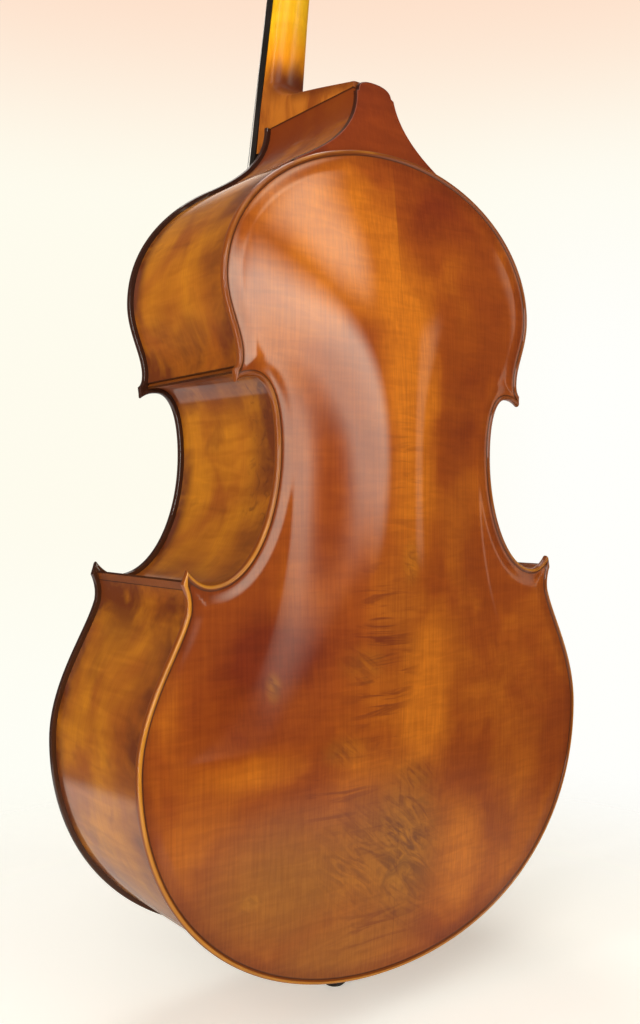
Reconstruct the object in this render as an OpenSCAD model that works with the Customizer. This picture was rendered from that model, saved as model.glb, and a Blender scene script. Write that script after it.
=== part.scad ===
// Double bass with a carved round back, violin corners and sloping shoulders.
// Millimetres. +Z is up, the strings face -Y, the back faces +Y, and +X is the treble side.
// The origin is the middle of the rubber foot's underside, with the end pin pushed in.

/* [Body outline] */
// Width across the lower bouts, over the plates
lower_bout_w = 680; // [600:1:820]
// Width across the waist, over the plates
waist_w = 338; // [280:1:406]
// Width across the upper bouts, over the plates
upper_bout_w = 480; // [430:1:580]
// Height of the widest line of the lower bouts above the bottom edge
lower_bout_z = 285; // [240:1:342]
// Height of the narrowest line of the waist
waist_z = 622; // [600:1:650]
// Height of the widest line of the upper bouts
upper_bout_z = 805; // [780:1:840]
// Width across the lower corners
lower_corner_w = 576; // [520:1:600]
// Height of the lower corners
lower_corner_z = 476; // [450:1:500]
// Width across the upper corners
upper_corner_w = 451; // [420:1:480]
// Height of the upper corners
upper_corner_z = 704; // [690:1:720]
// Height of the back plate's round top
back_l = 978; // [950:1:1010]
// Distance of the shoulder's turning point from the centre line
shoulder_x = 125; // [110:1:140]
// Height of the shoulder's turning point
shoulder_z = 964; // [950:1:980]
// Height of the neck joint above the bottom edge
body_l = 1066; // [1050:1:1280]

/* [Plates and ribs] */
// Depth of the ribs between the plates
rib_depth = 206; // [170:1:250]
// Thickness of a rib
rib_t = 2.5; // [2:0.1:3]
// Thickness of the plates at their edge
edge_t = 8; // [6:0.5:10]
// Thickness of the plates at their middle
plate_t = 8; // [6:0.5:10]
// Overhang of the plates past the ribs
overhang = 6; // [4:0.5:7]
// Arch of the back above its edge
back_arch = 26; // [18:1:34]
// Arch of the top above its edge
top_arch = 34; // [24:1:42]
// Width of the flat rim outside the arch
rim_w = 18; // [14:1:24]
// Thickness of the linings
lining_t = 5; // [3:0.5:6]
// Width of the linings
lining_w = 18; // [12:1:24]
// Half width of the end block
end_block_x = 60; // [45:1:80]
// Height of the end block
end_block_h = 46; // [40:1:60]
// Width of the bass bar
bar_w = 12; // [9:1:16]
// Depth of the bass bar
bar_d = 26; // [18:1:34]
// Distance of the bass bar and the sound post from the centre line
post_x = 52; // [44:1:60]
// Radius of the sound post
post_r = 9; // [7:0.5:11]
// Width of the sound holes' stems
f_stem_w = 13; // [9:1:16]
// Radius of the sound holes' upper eyes
f_upper_r = 11; // [8:1:14]
// Radius of the sound holes' lower eyes
f_lower_r = 15; // [11:1:18]

/* [Neck] */
// Width of the heel at the body
heel_w = 60; // [50:1:66]
// Thickness of the shoulder cap
cap_t = 6; // [4:0.5:8]
// Slope of the shoulder cap towards the front, as a fraction
cap_slope = 0.18; // [0.12:0.01:0.22]
// Backward tilt of the neck in degrees
neck_pitch = 9.8; // [8:0.1:12]
// Height of the neck's glued face above the top plate's edge at the joint
overstand = 22; // [16:1:30]
// Length of the neck from the joint to the end of the nut
neck_l = 440; // [400:1:530]
// Depth of the neck below the fingerboard at the body
neck_d_root = 28; // [24:1:32]
// Depth of the neck below the fingerboard at the nut
neck_d_nut = 25; // [22:1:28]
// Width of the neck's tenon
tenon_w = 40; // [30:1:44]
// Length of the neck's tenon in its block
tenon_l = 55; // [40:1:70]

/* [Fingerboard and strings] */
// Length of the fingerboard
board_l = 840; // [760:1:880]
// Width of the fingerboard at the nut
board_w_nut = 42; // [38:1:46]
// Width of the fingerboard at its lower end
board_w_end = 84; // [76:1:92]
// Thickness of the fingerboard at its crown
board_t = 19; // [16:0.5:23]
// Radius of the fingerboard's crown
board_r = 75; // [65:1:90]
// Length of the nut along the neck
nut_t = 8; // [6:0.5:10]
// Height of the bridge line above the body's bottom edge
bridge_z = 468; // [440:1:490]
// Height of the strings over the board's line at the bridge
bridge_clear = 22; // [18:1:30]
// Spacing of the strings at the bridge
bridge_gap = 27; // [24:0.5:30]
// Spacing of the strings at the nut
nut_gap = 10.2; // [9:0.1:11.5]
// Radius of the bridge's top edge
bridge_r = 80; // [70:1:95]
// Thickness of the bridge at its feet
bridge_foot_t = 20; // [16:1:24]
// Thickness of the bridge at its top
bridge_top_t = 6; // [5:0.5:8]
// Length of the tailpiece
tail_l = 300; // [240:1:320]
// Width of the tailpiece at the strings
tail_w_top = 96; // [84:1:110]
// Width of the tailpiece at the wire
tail_w_end = 42; // [36:1:50]
// Thickness of the tailpiece at its crown
tail_t = 20; // [16:1:24]
// Radius of the tail wire
wire_r = 1.5; // [1:0.1:2]

/* [Head and tuning machines] */
// Half width of the pegbox over its cheeks
cheek_x = 27; // [24:0.5:32]
// Half width of the slot between the cheeks
slot_x = 16.5; // [15:0.5:18]
// Distance of the first string roller from the nut
first_roller_z = 46; // [42:1:50]
// Spacing of the string rollers along the pegbox
roller_step = 44; // [36:1:46]
// Distance of the string rollers behind the neck's glued face
roller_y = 10; // [6:0.5:14]
// Radius of the string rollers
roller_r = 6; // [5:0.1:7.5]
// Radius of the plates of the tuning machines
machine_r = 20; // [18:0.5:21]
// Thickness of the plates of the tuning machines
machine_t = 2; // [1.5:0.1:2.5]
// Teeth on a gear wheel
wheel_teeth = 20; // [16:1:24]
// Thickness of a gear wheel
wheel_t = 6; // [5:0.5:7]
// Pitch of the worm
worm_pitch = 4.2; // [3.6:0.1:5]
// Pitch radius of the worm
worm_r = 5.6; // [5:0.1:7]
// Radius of the worm's shaft
worm_shaft_r = 3; // [2.5:0.1:3.6]
// Reach of a tuning key's wing from its shaft
key_wing = 20; // [15:1:24]
// Thickness of a tuning key's wing
key_t = 5; // [4:0.5:7]

/* [End pin] */
// Radius of the end pin rod
rod_r = 5; // [4:0.1:6]
// Length of the end pin rod
rod_l = 430; // [330:1:516]
// Radius of the socket's plug in the end block
plug_r = 15; // [13:0.5:19]
// Radius of the socket's flange
flange_r = 21; // [20:0.5:26]
// Thickness of the socket's flange
flange_t = 7; // [5:0.5:9]
// Height of the groove for the tail wire
groove_h = 8; // [6:0.5:10]
// Radius of the groove for the tail wire
groove_r = 14; // [12:0.5:17]
// Radius of the metal collar
collar_r = 17; // [16:0.5:20]
// Height of the metal collar
collar_h = 22; // [20:0.5:28]
// Radius of the thumb screw's shank
screw_r = 3; // [2.5:0.1:3.5]
// Radius of the thumb screw's head
thumb_r = 9; // [7:0.5:10]
// Radius of the rubber foot
foot_r = 15; // [12:0.5:18]
// Height of the rubber foot
foot_h = 22; // [18:0.5:28]

/* [Hidden] */
$fn = 64;

// Radial clearance of a part that turns or slides in its bore
run_fit = 0.05;
// Gap between a flat-ended piece and the arched plate that it stands on
seat_gap = 0.5;
// Glue gap between a curved rib and what stands behind it
glue_gap = 0.25;
// Gap between a string and what it is wound on or rests on
string_gap = 0.3;
// Gap between the foot and the collar when the end pin is pushed in
foot_gap = 2;

half_depth = rib_depth / 2;
body_z = foot_h + foot_gap + collar_h + groove_h + flange_t - overhang;
rib_in = overhang + rib_t;
block_in = rib_in + glue_gap;
joint_y = -(half_depth + edge_t + overstand);
joint_z = body_z + body_l;

// Curves of the half outline: cubic curves of four points, x from the centre line and z from the bottom
lb = lower_bout_w / 2;
wx = waist_w / 2;
ub = upper_bout_w / 2;
slope_end = heel_w / 2 + overhang;
fullness = 0.587;
low_tip = [lower_corner_w / 2, lower_corner_z];
low_cut = low_tip + [-6, 15];
low_hook = low_cut + [-28, -16.5];
high_tip = [upper_corner_w / 2, upper_corner_z];
high_cut = high_tip + [-2.5, -13.5];
high_hook = high_tip + [-25.5, -6];
high_neck = high_tip + [-6, 15];
shoulder_pt = [shoulder_x, shoulder_z];
shoulder_run = [55, -30];
low_neck = low_tip + [-5, -30];
lower_turn = [[0, 0], [fullness * lb, 0], [lb, (1 - fullness) * lower_bout_z], [lb, lower_bout_z]];
lower_flank = [[lb, lower_bout_z], [lb, lower_bout_z + 67], low_neck + [11, -38], low_neck];
lower_corner = [low_neck, low_neck + [-2, 11], low_tip + [-4, -8], low_tip];
c_low_hook = [low_cut, low_cut + [-5, -7], low_hook + [12, 0], low_hook];
c_low = [low_hook, low_hook + [-49, 0], [wx, waist_z - 77], [wx, waist_z]];
c_high = [[wx, waist_z], [wx, waist_z + 42], high_hook + [-22, 0], high_hook];
c_high_hook = [high_hook, high_hook + [10, 0], high_cut + [-6, 4.5], high_cut];
upper_corner = [high_tip, high_tip + [-4.5, 3], high_neck + [0, -7], high_neck];
upper_flank = [high_neck, high_neck + [0, 26], [ub, upper_bout_z - 35], [ub, upper_bout_z]];
shoulder = [[ub, upper_bout_z], [ub, upper_bout_z + 75], shoulder_pt + shoulder_run, shoulder_pt];
slope = [shoulder_pt, shoulder_pt - 0.85 * shoulder_run, [slope_end, body_l - 46], [slope_end, body_l]];
back_turn = [[ub, upper_bout_z], [ub, upper_bout_z + 95], [0.56 * ub, back_l], [0, back_l]];

// Share of a corner's curves that its ribs cover
low_reach = 0.7;
high_reach = 0.45;

// The arch's crest line, and how far the inside hollow stays within the outside arch
crest_z = waist_z - 40;
hollow_in = 14;
// How far an arch's edge dips below the flat that it rises from
arch_dip = 1;

// Shoulder cap: it slopes from this height, and the heel rises above the joint behind it
cap_z = 920;
cap_foot_z = 945;
heel_rise = 10;
cap_crown = 14;

function cap_y(z) = half_depth - cap_slope * (z - cap_z);

function bez(p, t) = let (s = 1 - t) s * s * s * p[0] + 3 * s * s * t * p[1] + 3 * s * t * t * p[2] + t * t * t * p[3];
function bez_way(p, t) = let (s = 1 - t) s * s * (p[1] - p[0]) + 2 * s * t * (p[2] - p[1]) + t * t * (p[3] - p[2]);
function unit(v) = v / norm(v);
function inward(v) = [-v[1], v[0]];
function flip(list) = [for (i = [len(list) - 1:-1:0]) list[i]];
// A half outline joined to its mirror image across the centre line
function both(half) = concat(half, [for (p = flip(half)) [-p[0], p[1]]]);

// Points of a curve from share a to share b, moved in by d; the first one is left out where it carries on
function run(p, d, n, a = 0, b = 1) =
    [for (i = [0:n]) let (t = a + (b - a) * i / n) bez(p, t) + d * inward(unit(bez_way(p, t)))];
function on(p, d, n, a = 0, b = 1) = [for (i = [1:n]) run(p, d, n, a, b)[i]];

function lower_line(d, reach = 1) = concat(
    run(lower_turn, d, 26), on(lower_flank, d, 12), on(lower_corner, d, 4, 0, reach));
function middle_line(d, low = 1, high = 1) = concat(
    run(c_low_hook, d, 6, 1 - low, 1), on(c_low, d, 16), on(c_high, d, 10), on(c_high_hook, d, 5, 0, high));
function bout_line(d, reach = 1) = concat(run(upper_corner, d, 4, 1 - reach, 1), on(upper_flank, d, 9));
function upper_line(d, reach = 1) = concat(bout_line(d, reach), on(shoulder, d, 14), on(slope, d, 14));
function top_half() = concat(lower_line(0), middle_line(0), upper_line(0), [[0, body_l]]);
function back_half() = concat(lower_line(0), middle_line(0), bout_line(0), on(back_turn, 0, 24));
function strip(outer, inner) = concat(outer, flip(inner));

// Half width of the arch against height, as rows of [half width, height]
function arch_rows(c) = concat(
    run([[0, c], [fullness * (lb - c), c], [lb - c, (1 - fullness) * lower_bout_z + c], [lb - c, lower_bout_z]],
        0, 7, 0.14, 1),
    on([[lb - c, lower_bout_z], [lb - c, lower_bout_z + 95], [wx - c, waist_z - 172], [wx - c, waist_z]], 0, 8),
    on([[wx - c, waist_z], [wx - c, waist_z + 78], [ub - c, upper_bout_z - 80], [ub - c, upper_bout_z]], 0, 6),
    on([[ub - c, upper_bout_z], [ub - c, upper_bout_z + 90], [0.56 * (ub - c), back_l - c], [0, back_l - c]],
        0, 7, 0, 0.86));
function crest(z, c) = 1 - pow(abs((z - crest_z) / (z < crest_z ? crest_z - c : back_l - c - crest_z)), 2.2);
function arch(s, z, c) = pow(max(0, crest(z, c) * (1 - s * s)), 1.25);

// Half width of the arch at one height, from its rows
function width_at(z, c) = let (rows = arch_rows(c)) lookup(z, [for (r = rows) [r[1], r[0]]]);
function lift(rise, share) = (rise + arch_dip) * share - arch_dip;
function outside_y(x, z, rise) = half_depth + edge_t + lift(rise, arch(x / width_at(z, rim_w), z, rim_w));
function inside_y(x, z, rise) = let (c = rim_w + hollow_in)
    half_depth + lift(rise + edge_t - plate_t, arch(x / width_at(z, c), z, c));

// A closed solid through rings of as many points each
module loft(rings) {
    m = len(rings[0]);
    n = len(rings);
    sides = [for (i = [0:n - 2]) for (j = [0:m - 1]) let (k = (j + 1) % m)
        each [[i * m + j, i * m + k, (i + 1) * m + k], [i * m + j, (i + 1) * m + k, (i + 1) * m + j]]];
    first = [for (j = [1:m - 2]) [0, j + 1, j]];
    last = [for (j = [1:m - 2]) [(n - 1) * m, (n - 1) * m + j, (n - 1) * m + j + 1]];
    polyhedron([for (r = rings) each r], concat(sides, first, last));
}

// A flat outline in x and z, given depth from y0 to y1
module slab(y0, y1) {
    translate([0, y1, 0]) rotate([90, 0, 0]) linear_extrude(y1 - y0) children();
}

// A flat profile in y and z, given width across the centre line
module across(w) {
    rotate([90, 0, 90]) linear_extrude(w, center = true) children();
}

module at_body() {
    translate([0, 0, body_z]) children();
}

module bass_side() {
    mirror([1, 0, 0]) children();
}

// Plates

// Solid under one half of an arch, from a flat base
module dome(c, base, rise) {
    cols = 8;
    low = base - 2 * arch_dip;
    loft([for (r = arch_rows(c)) concat(
        [for (j = [0:cols]) let (s = j / cols) [r[0] * s, base + lift(rise, arch(s, r[1], c)), r[1]]],
        [[r[0], low, r[1]], [0, low, r[1]]])]);
}

module half_plate(outline, rise) {
    at_body() resize([0, 0, 0]) difference() {
        union() {
            slab(half_depth, half_depth + edge_t) polygon(outline);
            dome(rim_w, half_depth + edge_t, rise);
        }
        dome(rim_w + hollow_in, half_depth, rise + edge_t - plate_t);
        children();
    }
}

// Sound hole: a double-curved stem between two round eyes, beside the bridge line, in places from its middle
f_mid = [118, bridge_z + 14];
f_bend = [-6, 52];
f_top = [-14, 118];
f_end = [-42, 112];
f_eye = [-45, 100];

module f_stem(way) {
    curve = [f_mid, f_mid + way * f_bend, f_mid + way * f_top, f_mid + way * f_end];
    polygon(strip(run(curve, f_stem_w / 2, 8), run(curve, -f_stem_w / 2, 8)));
}

module sound_hole() {
    slab(half_depth - 1, half_depth + edge_t + top_arch + 1) {
        f_stem(1);
        f_stem(-1);
        translate(f_mid + f_eye) circle(f_upper_r, $fn = 20);
        translate(f_mid - f_eye) circle(f_lower_r, $fn = 20);
    }
}

// The saddle's place in the top plate's lower edge
saddle_w = 56;
saddle_d = 14;

module saddle_notch() {
    translate([-saddle_w / 2, half_depth - 1, -1]) cube([saddle_w, edge_t + 2, saddle_d + 1]);
}

module back_treble() { color("peru") half_plate(back_half(), back_arch); }

module back_bass() { color("sienna") bass_side() half_plate(back_half(), back_arch); }

module top_plate() {
    mirror([0, 1, 0]) half_plate(top_half(), top_arch) {
        sound_hole();
        saddle_notch();
    }
}

module top_treble() { color("goldenrod") top_plate(); }

module top_bass() { color("goldenrod") bass_side() top_plate(); }

// Ribs, linings and blocks

module socket_bore() {
    translate([0, 0, -overhang]) cylinder(r = plug_r, h = 2 * overhang + end_block_h);
}

module lower_rib() {
    at_body() difference() {
        slab(-half_depth, half_depth)
            polygon(strip(lower_line(overhang, low_reach), lower_line(rib_in, low_reach)));
        socket_bore();
    }
}

module middle_rib() {
    at_body() slab(-half_depth, half_depth) polygon(strip(
        middle_line(overhang, low_reach, high_reach), middle_line(rib_in, low_reach, high_reach)));
}

module upper_rib() {
    at_body() intersection() {
        slab(-half_depth, half_depth)
            polygon(strip(upper_line(overhang, high_reach), upper_line(rib_in, high_reach)));
        across(2 * upper_bout_w) polygon([
            [-half_depth, upper_corner_z - 50], [half_depth, upper_corner_z - 50], [half_depth, cap_foot_z],
            [cap_y(cap_foot_z) - cap_t, cap_foot_z], [cap_y(body_l) - cap_t, body_l], [-half_depth, body_l]]);
    }
}

module lower_rib_treble() { color("chocolate") lower_rib(); }

module lower_rib_bass() { color("chocolate") bass_side() lower_rib(); }

module middle_rib_treble() { color("goldenrod") middle_rib(); }

module middle_rib_bass() { color("goldenrod") bass_side() middle_rib(); }

module upper_rib_treble() { color("chocolate") upper_rib(); }

module upper_rib_bass() { color("chocolate") bass_side() upper_rib(); }

// Where blocks end and linings begin, as shares of the curves
block_lower = 0.45;
block_waist = 0.3;
block_upper = 0.45;
neck_block_share = 0.75;

module lining_set(y0, y1) {
    d = block_in + lining_t;
    first = end_block_share(end_block_x) + 0.01;
    at_body() for (side = [0, 1]) mirror([side, 0, 0]) slab(y0, y1) {
        polygon(strip(
            concat(run(lower_turn, block_in, 24, first, 1), on(lower_flank, block_in, 6, 0, block_lower)),
            concat(run(lower_turn, d, 24, first, 1), on(lower_flank, d, 6, 0, block_lower))));
        polygon(strip(
            concat(run(c_low, block_in, 12, block_waist, 1), on(c_high, block_in, 8, 0, 1 - block_waist)),
            concat(run(c_low, d, 12, block_waist, 1), on(c_high, d, 8, 0, 1 - block_waist))));
        polygon(strip(
            concat(run(upper_flank, block_in, 4, block_upper, 1), on(shoulder, block_in, 10, 0, neck_block_share)),
            concat(run(upper_flank, d, 4, block_upper, 1), on(shoulder, d, 10, 0, neck_block_share))));
    }
}

// Share of the lower turn at which it is x from the centre line
function end_block_share(x) = lookup(x, [for (i = [0:40]) [bez(lower_turn, i / 40)[0], i / 40]]);

module back_linings() { color("tan") lining_set(half_depth - lining_w, half_depth); }

module top_linings() { color("tan") lining_set(-half_depth, -half_depth + lining_w); }

// A corner block fills the corner behind two ribs; the lower one's nose shows between their ends
module corner_blocks() {
    low = concat(
        run(lower_flank, block_in, 8, block_lower, 1), on(lower_corner, block_in, 3, 0, low_reach),
        on(lower_corner, overhang, 1, 0, low_reach),
        run(c_low_hook, block_in, 4, 1 - low_reach, 1), on(c_low, block_in, 6, 0, block_waist));
    high = concat(
        run(c_high, block_in, 5, 1 - block_waist, 1), on(c_high_hook, block_in, 4, 0, high_reach),
        run(upper_corner, block_in, 3, 1 - high_reach, 1), on(upper_flank, block_in, 5, 0, block_upper));
    color("burlywood") at_body() for (side = [0, 1]) mirror([side, 0, 0]) {
        slab(-half_depth, half_depth) polygon(low);
        slab(-half_depth, half_depth) polygon(high);
    }
}

module end_block() {
    line = run(lower_turn, block_in, 8, 0.02, end_block_share(end_block_x));
    color("burlywood") at_body() difference() {
        slab(-half_depth, half_depth) polygon(both(concat(line, [[line[8][0], end_block_h]])));
        socket_bore();
    }
}

// The back plate's seat at its round top, inside the rim
module back_seat() {
    slab(-half_depth, half_depth + 1)
        polygon(both(concat([[ub - overhang, upper_bout_z]], on(back_turn, overhang, 14, 0, 0.97))));
}

// Space behind the shoulder cap's underside, beyond the back plate's seat
module cap_space() {
    difference() {
        across(2 * ub) polygon([
            [cap_y(cap_foot_z) - cap_t, cap_foot_z], [half_depth + 1, cap_foot_z], [half_depth + 1, body_l + 1],
            [cap_y(body_l + 1) - cap_t, body_l + 1]]);
        back_seat();
    }
}

module tenon() {
    translate([-tenon_w / 2, -half_depth, body_l - tenon_l]) cube([tenon_w, half_depth + tenon_w / 2, tenon_l]);
}

module neck_block() {
    line = concat(run(shoulder, block_in, 5, neck_block_share, 1), on(slope, block_in, 14));
    color("burlywood") at_body() difference() {
        slab(-half_depth, half_depth) polygon(both(line));
        cap_space();
        tenon();
    }
}

module shoulder_cap() {
    line = concat(run(shoulder, overhang, 5, neck_block_share, 1), on(slope, overhang, 14));
    half = heel_w / 2;
    top_z = body_l + heel_rise;
    crown = [[half, top_z - cap_crown], [half, top_z - 4], [0.6 * half, top_z], [0, top_z]];
    color("sienna") at_body() difference() {
        intersection() {
            slab(-half_depth, half_depth) polygon(both(concat(line, on(crown, 0, 6, 0, 0.95))));
            across(2 * ub) polygon([
                [cap_y(cap_foot_z) - cap_t, cap_foot_z], [cap_y(cap_foot_z), cap_foot_z],
                [cap_y(top_z), top_z], [cap_y(top_z) - cap_t, top_z]]);
        }
        back_seat();
    }
}

// Neck, head, fingerboard

module neck_frame() {
    translate([0, joint_y, joint_z]) rotate([-neck_pitch, 0, 0]) children();
}

function neck_pt(p) = [
    p[0],
    joint_y + p[1] * cos(neck_pitch) + p[2] * sin(neck_pitch),
    joint_z - p[1] * sin(neck_pitch) + p[2] * cos(neck_pitch)];

function board_half(z) = (board_w_nut + (board_w_end - board_w_nut) * (neck_l - z) / board_l) / 2;

// How far the shaft stays within the fingerboard's edges
neck_inset = 1.5;
// Where the shaft starts above the joint, clear of the top plate
shaft_z = 8;
// Length of the neck's root, where its back turns into the heel
root_l = 68;
// Length of the heel's top in front of the turn
root_gap = [32, -34];

function neck_ring(z, depth) = let (half = board_half(z) - neck_inset)
    [for (a = [180:-15:0]) [half * cos(a), depth * sin(a), z]];

module neck() {
    turn = neck_pt([0, neck_d_root, root_l]) - [0, 0, body_z];
    turn_end = [turn[1], turn[2]];
    way = [sin(neck_pitch), cos(neck_pitch)];
    heel_top = turn_end + root_gap;
    fillet = [heel_top, heel_top + [-24, 4], turn_end - 22 * way, turn_end];
    back_z = body_l + heel_rise - 2;
    front = neck_pt([0, 0, root_l]) - [0, 0, body_z];
    color("darkgoldenrod") {
        neck_frame() loft([neck_ring(shaft_z, neck_d_root), neck_ring(neck_l, neck_d_nut)]);
        at_body() across(heel_w) polygon(concat(
            [[joint_y, body_l], [cap_y(body_l) - cap_t, body_l], [cap_y(back_z) - cap_t, back_z]],
            run(fillet, 0, 6),
            [[front[1], front[2]]]));
        at_body() tenon();
    }
}

// Pegbox and scroll, in the neck's frame above the nut
pegbox_l = 215;
pegbox_back = [[24, 0], [52, 18], [56, 120], [28, pegbox_l]];
pegbox_front = [[0, 0], [-24, 10], [-16, 120], [-4, pegbox_l]];
slot_floor = [[-4, 8], [40, 12], [42, 120], [12, pegbox_l - 12]];
scroll_at = [12, 238];
scroll_start = -62;
scroll_r = 46;
scroll_eye_r = 9;
scroll_steps = [15, 21, 27];

function scroll_line(turn) = [for (a = [0:10:350]) let (r = scroll_r * pow(0.5, turn + a / 360))
    scroll_at + r * [cos(scroll_start + a), sin(scroll_start + a)]];

module head_frame() {
    neck_frame() translate([0, 0, neck_l]) children();
}

module head() {
    color("saddlebrown") difference() {
        head_frame() {
            across(2 * cheek_x) polygon(strip(run(pegbox_back, 0, 12), run(pegbox_front, 0, 12)));
            across(2 * scroll_steps[0]) polygon(scroll_line(0));
            across(2 * scroll_steps[1]) polygon(scroll_line(1));
            translate([0, scroll_at[0], scroll_at[1]]) rotate([0, 90, 0])
                cylinder(r = scroll_eye_r, h = 2 * scroll_steps[2], center = true);
        }
        head_frame() across(2 * slot_x)
            polygon(concat([[-40, 8]], run(slot_floor, 0, 10), [[-40, pegbox_l - 12]]));
        for (i = [0:3]) machine_place(i) {
            rotate([0, 90, 0]) cylinder(r = roller_r + run_fit, h = 4 * cheek_x, center = true);
            machine_screw_places() pilot();
        }
    }
}

module fingerboard() {
    z0 = neck_l - board_l;
    z1 = neck_l - nut_t;
    color("#1d1918") neck_frame() intersection() {
        slab(-board_t, 0) polygon([
            [-board_half(z0), z0], [board_half(z0), z0], [board_half(z1), z1], [-board_half(z1), z1]]);
        translate([0, board_r - board_t, z0]) cylinder(r = board_r, h = board_l, $fn = 180);
    }
}

// Height of the nut above the fingerboard's crown
nut_rise = 1.5;

module nut() {
    half = board_half(neck_l - nut_t);
    color("#241f1d") neck_frame() intersection() {
        translate([-half, -board_t - nut_rise, neck_l - nut_t]) cube([2 * half, board_t + nut_rise, nut_t]);
        translate([0, board_r - board_t, neck_l - nut_t]) cylinder(r = board_r + nut_rise, h = nut_t, $fn = 180);
    }
}

// Bridge and tailpiece

board_line_z = (body_z + bridge_z - joint_z - board_t * sin(neck_pitch)) / cos(neck_pitch);
bridge_top_y = joint_y - board_t * cos(neck_pitch) + board_line_z * sin(neck_pitch) - bridge_clear;
bridge_foot_y = -outside_y(0, bridge_z, top_arch);
bridge_h = bridge_foot_y - bridge_top_y;
// Inner and outer ends of a bridge foot from the middle
foot_in = 36;
foot_out = 80;

function sag(x, r) = r - sqrt(r * r - x * x);
// Height below the bridge's middle foot line at which the arched plate lies
function foot_line(x) = let (z = bridge_z + bridge_foot_t / 2)
    -(outside_y(0, bridge_z, top_arch) - outside_y(x, z, top_arch)) + seat_gap;

function bridge_line() = let (crown_x = 2 * bridge_gap) concat(
    on([[0, 44], [22, 44], [foot_in, 30], [foot_in, 8]], 0, 6),
    [for (x = [foot_in:11:foot_out]) [x, foot_line(x)]],
    run([[foot_out + 1, 8], [72, 12], [60, 20], [60, 36]], 0, 5),
    on([[60, 36], [60, 52], [74, 54], [66, 66]], 0, 5),
    on([[66, 66], [60, 74], [42, 70], [42, 82]], 0, 5),
    on([[42, 82], [42, 92], [60, 90], [60, 104]], 0, 5),
    [for (i = [0:7]) let (x = crown_x * (1 - i / 7.5)) [x, bridge_h - sag(x, bridge_r)]]);

module bridge() {
    heart = [8, 78];
    color("tan") translate([0, bridge_foot_y, body_z + bridge_z]) intersection() {
        translate([0, 0, -bridge_foot_t / 2]) linear_extrude(bridge_foot_t) mirror([0, 1, 0]) difference() {
            polygon(both(bridge_line()));
            for (side = [-1, 1]) translate([side * heart[0], heart[1]]) circle(9);
            polygon([[-16, heart[1] - 3], [16, heart[1] - 3], [0, heart[1] - 24]]);
        }
        across(4 * foot_out) polygon([
            [40, bridge_foot_t / 2], [-20, bridge_foot_t / 2], [-bridge_h - 1, bridge_top_t - bridge_foot_t / 2],
            [-bridge_h - 1, -bridge_foot_t / 2], [40, -bridge_foot_t / 2]]);
    }
}

// The tailpiece lies on the line from above the saddle to the bridge's top
tail_lift = 34;
tail_start = 34;
tail_foot = [-(half_depth + edge_t + tail_lift), tail_start];
tail_pitch = atan((tail_foot[0] - bridge_top_y) / (bridge_z - tail_foot[1]));
// Radius of its crown, its string holes and their spacing, and the wire's distance from the middle
tail_r = 70;
tail_hole_r = 3.5;
tail_hole_in = 24;
tail_gap = 22;
wire_x = 12;
// Strings in order across the bridge, in steps from the middle
string_x = [-1.5, -0.5, 0.5, 1.5];

module tail_frame() {
    translate([0, tail_foot[0], body_z + tail_foot[1]]) rotate([tail_pitch, 0, 0]) children();
}

function tail_pt(p) = [
    p[0],
    tail_foot[0] + p[1] * cos(tail_pitch) - p[2] * sin(tail_pitch),
    body_z + tail_foot[1] + p[1] * sin(tail_pitch) + p[2] * cos(tail_pitch)];

module tailpiece() {
    color("#201b1a") tail_frame() difference() {
        intersection() {
            slab(0, tail_t) polygon([
                [-tail_w_end / 2, 0], [tail_w_end / 2, 0],
                [tail_w_top / 2, tail_l], [-tail_w_top / 2, tail_l]]);
            translate([0, tail_r, 0]) cylinder(r = tail_r, h = tail_l, $fn = 180);
        }
        for (x = string_x) translate([x * tail_gap, 0, tail_l - tail_hole_in]) rotate([90, 0, 0])
            cylinder(r = tail_hole_r, h = 3 * tail_t, center = true);
        for (side = [-1, 1]) translate([side * wire_x, tail_t / 2, -1])
            cylinder(r = wire_r + string_gap, h = wire_hole_l + 1);
    }
}

// Tail wire: from the tailpiece's end over the saddle and round the groove of the socket
wire_hole_l = 20;
saddle_rise = 15;
saddle_y = -(half_depth + edge_t + saddle_rise);
groove_z = -(flange_t - overhang) - groove_h / 2;

function wire_half() = let (loop = groove_r + wire_r + string_gap, over = wire_r + string_gap) concat(
    [tail_pt([wire_x, tail_t / 2, wire_hole_l - 1]), tail_pt([wire_x, tail_t / 2, -2])],
    [for (p = [[14, saddle_y - over, 7], [14, saddle_y - over, 2], [14, saddle_y + 5, groove_z - 0.6]])
        p + [0, 0, body_z]],
    [[15, -loop, groove_z + body_z]],
    [for (a = [0:15:75]) [loop * cos(a), loop * sin(a), groove_z + body_z]]);

// Rings of a tube along points, each ring square to the way through its point
function tube_way(p, i) = let (a = max(0, i - 1), b = min(len(p) - 1, i + 1)) unit(
    (i > a ? unit(p[i] - p[a]) : [0, 0, 0]) + (b > i ? unit(p[b] - p[i]) : [0, 0, 0]));
function tube_ring(at, way, r, sides) = let (
    ref = abs(way[0]) > 0.9 ? [0, 0, 1] : [1, 0, 0],
    u = unit(ref - (ref * way) * way),
    v = cross(way, u))
    [for (k = [0:sides - 1]) at + r * (cos(360 * k / sides) * u - sin(360 * k / sides) * v)];
function spread(r, i) = is_list(r) ? r[i] : r;

module tube(p, r, sides) {
    loft([for (i = [0:len(p) - 1]) tube_ring(p[i], tube_way(p, i), spread(r, i), sides)]);
}

module tail_wire() {
    half = wire_half();
    other = [for (p = flip(half)) [-p[0], p[1], p[2]]];
    top = [[0, groove_r + wire_r + string_gap, groove_z + body_z]];
    color("silver") tube(concat(half, top, other), wire_r, 8);
}

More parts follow.
